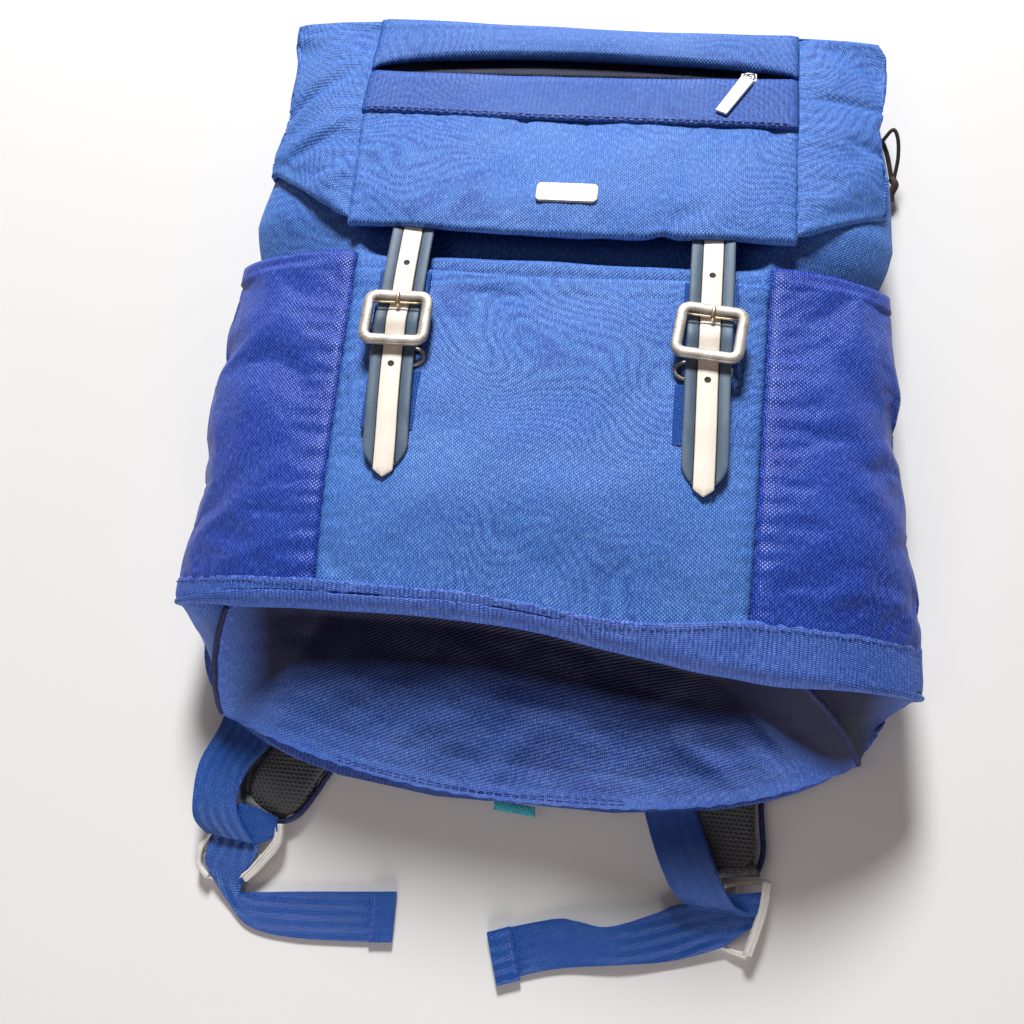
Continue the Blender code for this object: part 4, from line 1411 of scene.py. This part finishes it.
def badge():
    """A plain plate with round corners, bowed long sides and a bevelled edge."""
    y = 0.2670
    half_x = 0.0183
    half_y = 0.0066
    corner = 0.0028
    outline = []
    for cx, cy, start in QUARTERS:
        for step in range(6):
            angle = radians(start + 18 * step)
            x = cx * (half_x - corner) + corner * cos(angle)
            bow = 0.0014 * (1 - (x / half_x) ** 2)
            outline.append((x, cy * (half_y - corner) + corner * sin(angle) + bow * cy))
    points = []
    for inset, height in ((0.0, 0.0), (0.0, 0.0009), (0.0004, 0.0013), (0.0010, 0.0014)):
        points += [Vector((a * (1 - inset / half_x), b * (1 - inset / half_y), height)) for a, b in outline]
    made = mesh_object("badge_plate", points, tube_faces(len(outline), 4))
    made.data.shade_flat()
    slope = atan2(top_z(0, y + 0.01, flap_lift(y + 0.01)) - top_z(0, y, flap_lift(y)), 0.01)
    made.matrix_world = seat(0.001, y, top_z(0, y, flap_lift(y)) + 0.0020, slope)
    dress(made, BADGE, "flap", ["badge"])


# Belts and their fittings.
def belt_lift(y):
    near_tip = clamp((y - BELT_TIP_Y) / 0.04)
    near_flap = clamp((BELT_ROOT_Y - y) / 0.04)
    return 0.0040 + 0.0040 * min(near_tip, near_flap) ** 0.7


def belt_centre(side, y):
    """The belts lean a little: their tips lie further right than their roots."""
    sign = SIDES[side]
    lean = (0.004 if sign < 0 else 0.001) * (1 - smooth(BELT_TIP_Y, 0.17, y))
    hump = 0.0030 * peak(y - BUCKLE_Y, 0.0085)
    z = top_z(BELT_X, y, belt_lift(y)) + BELT_THICKNESS / 2 + hump
    return Vector((sign * BELT_X + lean, y, z))


def belt_half_width(y):
    """The belt's sides curve in to the stripe, whose own short point ends the belt."""
    share = clamp((y - BELT_TIP_Y - 0.0035) / (0.62 * BELT_WIDTH))
    point = STRIPE_HALF_WIDTH * clamp((y - BELT_TIP_Y) / 0.0042)
    return max(0.0004, point, BELT_WIDTH / 2 * sin(pi / 2 * share) ** 0.62)


def dress_belt(made, side, finish, replaced=()):
    """Dresses a belt's piece and bakes its place into its mesh. Its end is sewn down just below the flap's
    edge.
    """
    dress(made, finish, None, replaced)
    root = belt_centre(side, BELT_ROOT_Y - 0.0015)
    free = belt_centre(side, BELT_ROOT_Y - 0.0370)
    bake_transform(made)


BELT_STEPS = 90
BELT_POWER = 1.35


def belt(side):
    top_y = BELT_ROOT_Y + 0.0040
    stripe_low_y = BELT_TIP_Y + 0.0003
    stripe_top_y = BELT_ROOT_Y + 0.0035
    shares = [share**BELT_POWER for share in spread(0.0, 1.0, BELT_STEPS)]

    def section(share):
        half = belt_half_width(mix(BELT_TIP_Y, top_y, share**BELT_POWER))
        groove = min(0.0062, half * 0.9)
        t = BELT_THICKNESS / 2
        left = [(-half, 0.1 * t), (-half + 0.0004, 0.8 * t), (-half + 0.0012, t)]
        left += [(-groove - 0.0006, t), (-groove, t - 0.0010), (-groove + 0.0005, t - 0.0010)]
        top = [(clamp(x, -half, half), z) for x, z in mirrored(left, (0.0, t - 0.0005))]
        return top + [(half - 0.0004, -t), (0.0, -t), (-half + 0.0004, -t)]

    def stripe_section(share):
        y = mix(stripe_low_y, stripe_top_y, share**BELT_POWER)
        half = min(STRIPE_HALF_WIDTH - 0.0003, belt_half_width(y))
        return mirrored([(-half, -0.0004), (-half, 0.0), (-half + 0.0006, 0.0004)], (0.0, 0.00055))

    name = "belt_" + side
    route = [belt_centre(side, mix(BELT_TIP_Y, top_y, share)) for share in shares]
    dress_belt(sweep(name + "_strap", route, section), side, SLATE, [name])
    raised = Vector((0.0, 0.0, BELT_THICKNESS / 2 - 0.0001))
    stripe_route = [belt_centre(side, mix(stripe_low_y, stripe_top_y, share)) + raised for share in shares]
    # Thin dark lines along the stripe's edges: painted shade that stands in for the shade in the narrow
    # grooves beside the stripe.
    lines = []
    for edge in (-1, 1):
        line = [point + Vector((edge * STRIPE_HALF_WIDTH, 0.0, 0.0)) for point in stripe_route[8:]]
        lines.append(sweep("edge_line", line, round_section(0.00026, 0.00030, 6)))
    dress_belt(join(name + "_groove_shade_lines", lines), side, HOLE)
    stripe = sweep(name + "_stripe", stripe_route, stripe_section)
    dress_belt(stripe, side, CREAM, ["belt_stripe_" + side])
    belt_holes(side)


# A belt hole's rings, from its rim inwards: radius and height.
HOLE_RINGS = ((0.0019, -0.0002), (0.0017, 0.0001), (0.0014, 0.0), (0.0012, -0.0001))
HOLE_SIDES = 16


def belt_holes(side):
    vertices = []
    faces = []
    for y in (0.2165, 0.1505):
        centre = belt_centre(side, y) + Vector((0.0, 0.0, BELT_THICKNESS / 2 + 0.00062))
        ahead = (belt_centre(side, y + 0.004) - belt_centre(side, y - 0.004)).normalized()
        across = Vector((1, 0, 0))
        top = across.cross(ahead)
        faces += tube_faces(HOLE_SIDES, len(HOLE_RINGS), first=len(vertices))
        for radius, height in HOLE_RINGS:
            outline = round_section(radius, radius, HOLE_SIDES)
            vertices += [centre + across * a + ahead * b + top * height for a, b in outline]
    made = mesh_object("belt_" + side + "_holes", vertices, faces, closed=True)
    dress_belt(made, side, HOLE)


def belt_anchor(side):
    made = along_front(
        "belt_anchor_" + side + "_strap", SIDES[side] * BELT_X, BELT_ROOT_Y + 0.0045, BELT_ROOT_Y + 0.027, 12,
        flat_section(BELT_WIDTH, BELT_THICKNESS, 6), lambda y: top_z(BELT_X, y, 0.0048),
    )
    dress(made, SLATE, "flap", ["belt_anchor_" + side])


def squared_loop(half_x, half_y, power, count):
    points = []
    for ca, sa in round_section(1.0, 1.0, count):
        reach = (abs(ca) ** power + abs(sa) ** power) ** (-1 / power)
        points.append(Vector((half_x * reach * ca, half_y * reach * sa, 0.0)))
    return points


def rounded_loop(half_x, half_y, radius, steps=7, cells=6):
    """A rectangle with round corners, as a closed route."""
    points = []
    for cx, cy, start in QUARTERS:
        middle = Vector((cx * (half_x - radius), cy * (half_y - radius), 0.0))
        for step in range(steps):
            angle = radians(start + 90 * step / (steps - 1))
            points.append(middle + Vector((radius * cos(angle), radius * sin(angle), 0.0)))
    loop = []
    for a, b in zip(points, points[1:] + points[:1]):
        count = cells if (b - a).length > 2 * radius else 1
        loop += [a.lerp(b, step / count) for step in range(count)]
    return loop


def buckle(side):
    sign = SIDES[side]
    z = top_z(BELT_X, BUCKLE_Y, belt_lift(BUCKLE_Y)) + BELT_THICKNESS + 0.0042
    skew = radians(-6) if sign > 0 else 0.0
    place = seat(sign * BELT_X, BUCKLE_Y, z, belt_slope(BUCKLE_Y, 0.008), skew)
    bar = 0.0031
    outline = rounded_loop(BUCKLE_SIDE / 2 - bar, BUCKLE_SIDE / 2 - bar - 0.0026, 0.0046)
    right = [(bar, -0.0010), (bar * 0.97, 0.0007), (bar * 0.78, 0.0014)]
    section = mirrored(right, (0.0, 0.0015)) + [(bar * -0.5, -0.0014), (bar * 0.5, -0.0014)]
    made = sweep("buckle_" + side + "_frame", outline, section, closed=True)
    made.matrix_world = place
    dress(made, ANTIQUE, "buckle_" + side, ["buckle_" + side])

    def tongue_section(share):
        return round_section(mix(0.0010, 0.0014, smooth(0.2, 0.8, share)), 0.0009, 10)

    tongue_route = mm(0, 14.8, 2.1, 0, 12.8, 2.7, 0, 10.4, 2.4, 0, 8.6, 1.2, 0, 7.8, -0.4)
    tip = sweep("tongue_tip", smooth_route(tongue_route, 6), tongue_section)
    pin_route = [Vector((x, 0.0092, 0.0008)) for x in spread(-0.0140, 0.0140, 6)]
    pin = sweep("tongue_pin", pin_route, round_section(0.0006, 0.0006, 8))
    tongue = join("prong_" + side + "_tongue", [tip, pin])
    tongue.matrix_world = place
    dress(tongue, BRASS, "prong_" + side, ["prong_" + side])


def closure(side):
    """The sewn webbing tab, its ring, the hook under the belt and the belt's webbing backing."""
    x = SIDES[side] * BELT_X
    tab_x = SIDES[side] * (BELT_X - 0.0024)
    web = flat_section(WEB_WIDTH, WEB_THICKNESS, 8)
    tab = along_front(
        "closure_tab_" + side + "_webbing", tab_x, 0.112, RING_Y, 24, web,
        lambda y: top_z(BELT_X, y, 0.0052),
    )
    dress(tab, WEBBING, "bag", ["closure_tab_" + side])

    ring_y = RING_Y + 0.0090
    slope = belt_slope(ring_y, 0.005)
    loop = squared_loop(0.0150, 0.0062, 2.6, 48)
    ring = sweep("closure_ring_" + side + "_wire", loop, round_section(0.0011, 0.0011, 10), closed=True)
    ring.matrix_world = seat(tab_x, ring_y, top_z(BELT_X - 0.003, ring_y, 0.0052), slope)
    dress(ring, ANTIQUE, "ring_" + side, ["closure_ring_" + side])

    hook = soft_box(
        "belt_hook_" + side + "_plate", (-0.0080, -0.0020, 0.0), (0.0080, 0.0020, 0.0022), 0.0006
    )
    hook.matrix_world = seat(x, ring_y, top_z(BELT_X, ring_y, belt_lift(ring_y)) - 0.0027, slope)
    dress(hook, ANTIQUE, "belt_" + side, ["belt_hook_" + side])

    backing = along_front(
        "belt_" + side + "_backing", x, 0.1640, 0.2120, 19, web,
        lambda y: top_z(BELT_X, y, belt_lift(y)) - 0.0012,
    )
    dress(backing, WEBBING, "belt_" + side)


# The shoulder straps, their webbing and their locks.
STRAP_ROUTES = {
    "left": mm(
        -55, 374, 5.1, -72, 260, 5.1, -108, 120, 5.1, -124, 0, 5.1, -133.5, -55, 5.1, -157.5, -99, 5.1,
    ),
    "right": mm(55, 374, 5.1, 72, 260, 5.1, 106, 120, 5.1, 113, 0, 5.1, 113, -60, 5.1, 118, -108, 5.1),
}
STRAP_END_SHARE = {"left": 0.56, "right": 0.78}
STRAP_EDGE = 0.0016


def strap_half_width(side, share):
    taper = clamp((1 - share) / 0.085)
    body = mix(0.0290, 0.0232, clamp((share - 0.55) / 0.3))
    return body * mix(STRAP_END_SHARE[side], 1.0, sin(pi / 2 * taper))


def shoulder_strap(side):
    name = "shoulder_strap_" + side
    body = "strap_" + side
    route = smooth_route(STRAP_ROUTES[side], 22)
    last = len(route) - 1

    def section(share):
        half = strap_half_width(side, share) - STRAP_EDGE
        top = [(x, 0.0044 * (1 - abs(x / half) ** 5 * 0.55)) for x in spread(-half, half, 10)]
        return top + [(x, -z) for x, z in reversed(top)]

    def rim_section(share):
        return round_section(0.0034, 0.0046 * (0.7 + 0.3 * arch(share)), 12)

    made = inflate(sweep(name + "_pad", route, section), 0.0030, 0.0010)
    dress(made, MESH, body, [name])
    for edge, sign in (("inner", -1), ("outer", 1)):
        points = []
        for index, centre in enumerate(route):
            run = route[min(index + 1, last)] - route[max(index - 1, 0)]
            across = Vector((run.y, -run.x, 0.0)).normalized()
            points.append(centre + across * sign * (strap_half_width(side, index / last) - STRAP_EDGE))
        binding = sweep(f"{name}_binding_{edge}", points, round_section(0.0017, 0.0034, 10))
        pale = side == "left" and edge == "outer"
        dress(binding, GREY_BRUSHED if pale else NAVY, body)
    run = (route[-1] - route[-3]).normalized()
    across = Vector((run.y, -run.x, 0.0))
    half = strap_half_width(side, 1.0)
    rim = [route[-1] + across * x - run * 0.001 for x in spread(-half, half, 16)]
    dress(sweep(name + "_end_rim", rim, rim_section), GREY_BRUSHED, body)


# The ladder locks, each as its bars: route, half width and half height. The ridged bar comes first.
LOCK_BARS = {
    "left": [
        (mm(-142.5, -105.5, 9.2, -143, -115.9, 8.4, -153.2, -130.1, 6.6, -160.8, -138, 5), 0.0026, 0.0024),
        (mm(-183.2, -113, 8, -188.4, -123, 7.4, -188.6, -133, 6.2, -183, -139.2, 5), 0.0015, 0.0022),
        (mm(-183.2, -113, 5, -163, -110, 4, -142.5, -106, 6), 0.0015, 0.0014),
        (mm(-188.4, -127, 5, -170, -126, 3.6, -150, -125, 5), 0.0013, 0.0013),
        (mm(-183, -139.2, 4, -172, -140, 3, -160.8, -138, 4), 0.0013, 0.0013),
    ],
    "right": [
        (mm(139.8, -110, 9.8, 138.4, -124, 9.2, 135.2, -137, 8.4, 131.2, -150, 6.8), 0.0026, 0.0026),
        (mm(139.8, -110.5, 6.6, 130, -112, 4, 117, -115, 2.8), 0.0014, 0.0016),
        (mm(131.2, -150, 5, 124, -150, 3, 111, -145, 2.2), 0.0014, 0.0014),
        (mm(125, -114, 3.6, 122, -130, 2.8, 118, -145, 2.6), 0.0013, 0.0012),
        (mm(117, -115, 2.8, 114, -130, 2.2, 111, -145, 2.2), 0.0013, 0.0012),
    ],
}


def ladder_lock(side):
    """A ladder lock: a frame with cross bars under the webbing and one thick ridged bar."""
    pieces = []
    for points, half, high in LOCK_BARS[side]:
        pieces.append(sweep("bar", smooth_route(points, 6), squared_section(half, high)))
    points, half, high = LOCK_BARS[side][0]
    for offset in (-0.75, 0.0, 0.75):
        line = [point + Vector((offset * half, 0.0, high)) for point in smooth_route(points, 6)]
        pieces.append(sweep("ridge", line, round_section(0.0004, 0.0004, 6)))
    made = join(f"ladder_lock_{side}_frame", pieces)
    dress(made, WHITE_PLASTIC, "lock_" + side, ["ladder_lock_" + side])


def squared_section(a, b):
    """A small rectangle, a by b from its middle, with its corners taken off."""
    cut = 0.35 * min(a, b)
    corners = [(a, -b + cut), (a, b - cut), (a - cut, b), (-a + cut, b)]
    return corners + [(-x, -z) for x, z in corners]


# The webbing's two edges, from where each piece leaves the bag or the lock.
WEB_EDGES = {
    "left": (
        mm(
            -183, -22, 10.6, -186, -50, 11.4, -193.4, -73.9, 17.8, -193.8, -95.4, 19.5,
            -192.1, -107, 16.5, -185, -114.5, 12,
        ),
        mm(
            -154, -22, 10.6, -153, -56, 11.4, -163, -75, 17.2, -167.5, -91.5, 18.5,
            -165, -104.5, 16, -156, -118, 11.2,
        ),
    ),
    "right": (
        mm(62, -52, 10.6, 70, -79.9, 11.4, 78.1, -102.1, 16, 87, -119, 17.5, 96, -126, 14.5, 106, -128.2, 12),
        mm(
            92, -56, 10.6, 99.3, -77.2, 11.4, 106.8, -96.1, 16, 115.4, -115, 17.5,
            122, -124.5, 15.5, 131, -129.2, 12.2,
        ),
    ),
}
# Where the webbing has turned under and goes on to its lock.
LOOP_EDGES = {
    "left": (
        mm(-172, -96, 15, -160, -96.8, 13, -144.6, -101.5, 11.2),
        mm(-164, -116.5, 9.4, -154, -117.8, 9.2, -141.8, -111.8, 10),
    ),
    "right": (
        mm(116, -119, 14, 127, -117.8, 12.8, 137.2, -116, 10.8),
        mm(118, -129, 10, 129, -130, 9.8, 136.6, -129, 10),
    ),
}
TAIL_EDGES = {
    "left": (
        mm(
            -183, -114, 8.8, -184.6, -124.4, 8.6, -184.1, -133.1, 6.6, -170.5, -151.2, 2.8,
            -155.1, -164.9, 1.6, -129.9, -168.4, 1.6, -97.2, -167.2, 1.6, -69.6, -164.9, 1.6,
        ),
        mm(
            -153, -119, 8.6, -156.2, -128.6, 8.2, -159.5, -136.4, 6.2, -162.3, -145, 3.4,
            -159, -146.2, 2.2, -130, -143, 1.6, -97.5, -139.8, 1.6, -70, -137, 1.6,
        ),
    ),
    "right": (
        mm(
            135, -124, 8.2, 113, -126.2, 7, 92.8, -127.5, 4.6, 78.7, -134.2, 4,
            53.4, -143.6, 6.2, 35.1, -142.5, 4, 21.9, -142.9, 2.2, -15.3, -153.8, 1.6,
        ),
        mm(
            134.6, -134.3, 7.8, 124, -143, 6.2, 116.4, -148.6, 4.4, 89.8, -158.4, 3,
            61.6, -163.4, 4, 30.8, -168.4, 2.2, 8.6, -174.5, 2, -6.8, -182.1, 1.6,
        ),
    ),
}
BAND_CELLS = 8


def band(name, edges, rows, sag=0.0):
    """Webbing laid between two edge lines, with a little crown across it."""
    steps = rows // (len(edges[0]) - 1)
    outer, inner = (smooth_route(edge, steps) for edge in edges)
    points = []
    for a, b in zip(outer, inner):
        shares = spread(0.0, 1.0, BAND_CELLS)
        points.append([a.lerp(b, share) + Vector((0.0, 0.0, sag * arch(share))) for share in shares])
    made = grid_object(name, points)
    thicken(made, WEB_THICKNESS, 0)
    rounding = made.modifiers.new("rounding", "BEVEL")
    rounding.width = 0.0003
    rounding.segments = 2
    rounding.limit_method = "ANGLE"
    return freeze(made), outer, inner


def strap_web(side):
    made, outer, _ = band("strap_web_" + side + "_webbing", WEB_EDGES[side], 75, 0.0008)
    dress(made, WEBBING, None, ["strap_web_" + side])
    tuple(outer[10])
    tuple(outer[-14])
    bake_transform(made)
    turned, _, _ = band("strap_web_" + side + "_return", LOOP_EDGES[side], 24, 0.0006)
    dress(turned, WEBBING, "strap_" + side)


def web_tail(side):
    name = "web_tail_" + side
    made, outer, inner = band(name + "_webbing", TAIL_EDGES[side], 91)
    dress(made, WEBBING, "lock_" + side, [name])
    middle = [(a + b) / 2 for a, b in zip(outer, inner)]
    back = (middle[-9] - middle[-1]).normalized() * 0.014
    raised = Vector((0.0, 0.0, WEB_THICKNESS + 0.0002))
    ends = (outer[-1] + raised, inner[-1] + raised)
    fold, _, _ = band(name + "_fold", [[end + back, end + back * 0.5, end] for end in ends], 16, 0.0004)
    dress(fold, WEBBING, "lock_" + side)
    line_start, line_end = (end + back * 0.86 + Vector((0, 0, 0.0012)) for end in ends)
    stitched = [line_start.lerp(line_end, share) for share in spread(0.06, 0.94, 10)]
    thread_line(name + "_stitching", stitched, "lock_" + side, 0.0026, 0.0010, 0.0003)
    length = distances(middle)[-1]


# Small things and the parts inside.
def inner_parts():
    stiffener_z = BACK_Z + WALL + 0.0011
    for name, node, half_x, high_y, z in (
        ("back_stiffener_board", "back_stiffener", 0.160, 0.368, stiffener_z),
        ("laptop_sleeve_cloth", "laptop_sleeve", 0.149, 0.324, 0.0250),
    ):
        def lining(u, v):
            x = mix(-half_x, half_x, u)
            y = mix(0.012, high_y, v)
            return Vector((x, y, z + 0.0004 * rough(x, y, 18, 40)))

        fabric(name, 30, 36, lining, 0.0016, LINING, "bag", [node])

    def binding(u, v):
        return skin(mix(-0.48, 0.48, u), mix(MOUTH_Y - 0.014, MOUTH_Y - 0.002, v), 0.0013)

    fabric("mouth_binding_tape", 80, 6, binding, 0.0009, NAVY, "bag", ["mouth_binding"])


def size_tag():
    low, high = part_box("size_tag")

    def place(u, v):
        y = mix(low.y + 0.0045, high.y, v) - 0.0020 * u
        z = low.z + 0.0002 - 0.0016 * (1 - v) ** 2 + 0.0003 * sin(3 * pi * u)
        return Vector((mix(low.x, high.x, u), y, z))

    fabric("size_tag_ribbon", 24, 12, place, 0.0005, TEAL, "bag", ["size_tag"])


def laptop_zip():
    def place(u, v):
        point = skin(mix(0.930, 0.975, u), mix(LAPTOP_ZIP_LOW_Y, LAPTOP_ZIP_HIGH_Y, v))
        return point + Vector((0.0010, 0.0, 0.0))

    fabric("laptop_zip_ribbon", 8, 40, place, 0.0010, ZIP_DARK, "bag", ["laptop_zip_tape"])
    teeth = []
    steps = 60 * COIL_STEPS
    for step in range(steps):
        angle = 2 * pi * step / COIL_STEPS
        middle = skin(0.952, mix(LAPTOP_ZIP_LOW_Y + 0.003, LAPTOP_ZIP_HIGH_Y - 0.004, step / steps))
        teeth.append(middle + Vector((0.0022 + 0.0006 * cos(angle), 0.0, 0.0011 * sin(angle))))
    dress(sweep("laptop_zip_coil", teeth, round_section(0.0004, 0.0004, 5)), ZIP_DARK, "bag")
    low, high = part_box("laptop_zip_slider")
    middle = (low + high) / 2
    ends = (low.x + 0.0002, middle.y - 0.0058, low.z), (high.x, middle.y + 0.0058, high.z)
    body = soft_box("zip_body", *ends, 0.0009)
    loop = squared_loop(0.0030, 0.0022, 2.4, 28)
    eye_route = [Vector((high.x + 0.0004, middle.y + point.x, middle.z + point.y)) for point in loop]
    eye = sweep("zip_eye", eye_route, round_section(0.0006, 0.0006, 8), closed=True)
    slider = join("laptop_zip_slider_body", [body, eye])
    dress(slider, SILVER, "laptop_slider", ["laptop_zip_slider"])


def grab_handle():
    """The carrying loop at the top of the back, a padded webbing arch that lies flat."""
    angles = spread(0.0, pi, 60)
    route = [Vector((0.0175 * cos(a), 0.3830 - 0.046 * max(sin(a), 0.0) ** 0.6, 0.0060)) for a in angles]

    def section(share):
        grip = arch(share, 0.5)
        return round_section(mix(0.0034, 0.0041, grip), mix(0.0020, 0.0040, grip), 14)

    made = sweep("grab_handle_grip", route, section)
    dress(made, NAVY, "handle", ["grab_handle"])


# The finishes. A cloth's colours are its own, its gaps' and its light threads'.
BLUE = cloth("mid_blue_cloth", (74, 136, 222), (28, 66, 160), (126, 180, 244))
# The hood's cloth is the blue cloth painted darker: painted shade, because the hood faces the lamp more than
# the rest of the flap does.
HOOD_PAINTED_SHADE = cloth("hood_cloth_painted_shade", (62, 122, 206), (26, 60, 150), (106, 162, 232))
PLACKET = cloth(
    "placket_cloth", (56, 106, 192), (24, 54, 140), (92, 140, 216), along=0.0012, across=0.0030
)
VIOLET = cloth(
    "violet_cloth", (36, 74, 190), (16, 30, 122), (88, 130, 230), 0.06, 0.0012, 0.0022, 0.5, 0.5, 0.42
)
# The base's cloth is painted lighter than the blue cloth: painted light on its slope. Its fold adds painted
# shade in the valley under the rim.
BASE_BLUE_PAINTED_LIGHT_AND_SHADE = cloth(
    "base_cloth_painted_light_and_shade", (84, 144, 252), (36, 68, 190), (144, 192, 255), slant=0.25, ripple=0.35,
    sheen=0.05, fold=(0.090, 0.122, (4, 7, 54)),
)
ROLL_BLUE = cloth(
    "roll_cloth", (66, 110, 206), (22, 44, 134), (112, 156, 236), across=0.0024, along=0.0011, ripple=0.4
)
ZIP_DARK = cloth("zip_tape_weave", (14, 18, 52), (6, 8, 28), (34, 40, 96), 0.1)
LINING = cloth("grey_lining", (112, 116, 124), (72, 76, 84), (150, 154, 160), 0.2)
TEAL = cloth("teal_tag_weave", (36, 168, 182), (18, 120, 136), (96, 206, 214), 0.2)
GREY_BRUSHED = cloth("brushed_grey", (120, 126, 128), (70, 74, 76), (178, 184, 184), 0.8)
NAVY = cloth("navy_binding", (26, 32, 92), (12, 14, 48), (60, 70, 140), 0.3)
THREAD = cloth("pale_thread", (138, 140, 214), (84, 86, 166), (186, 190, 238), 0.4)
WEBBING = webbing_finish("webbing_weave", (20, 100, 200), (2, 30, 104), (96, 168, 240))
SLATE = leatherette("slate_leatherette", (92, 112, 132), (74, 92, 112), (132, 148, 164))
CREAM = leatherette("cream_leatherette", (252, 244, 232), (238, 226, 210), (255, 252, 244))
LEATHER = leatherette("brown_leather", (86, 66, 62), (48, 36, 34), (124, 102, 96), 0.6)
HOLE = leatherette("belt_hole_edge", (60, 50, 44), (24, 20, 18), (96, 84, 76), 0.7)
ANTIQUE = worn_metal("antique_silver_plate", (158, 150, 142), (84, 74, 66), (194, 186, 178), 0.44, 0.9)
BRASS = worn_metal("brass_plate", (176, 156, 120), (96, 78, 54), (214, 196, 164), 0.30, 0.5, 0.85)
SILVER = worn_metal("polished_silver_plate", (206, 206, 210), (150, 150, 154), (232, 232, 236), 0.34, 0.15)
BADGE = worn_metal("satin_silver_plate", (160, 154, 154), (122, 116, 116), (186, 180, 178), 0.42, 0.3)
MESH = spacer_mesh("charcoal_spacer_mesh", (40, 42, 44), (68, 70, 72))
WHITE_PLASTIC = moulded_plastic("white_plastic_moulded", (222, 220, 214), (176, 172, 164))

set_camera()
set_floor()
set_light()
for build in (
    thong, inner_parts, size_tag, laptop_zip, grab_handle, front_panel, front_pocket, base, rim_roll,
    back_panel, back_pads, flap_centre, flap_hood, flap_placket, flap_wrap, flap_zip,
    flap_slider_and_pull, badge,
):
    build()
for side in SIDES:
    for build in (
        gusset, side_pocket, flap_wing, belt, belt_anchor, buckle, closure, shoulder_strap,
        ladder_lock, strap_web, web_tail,
    ):
        build(side)
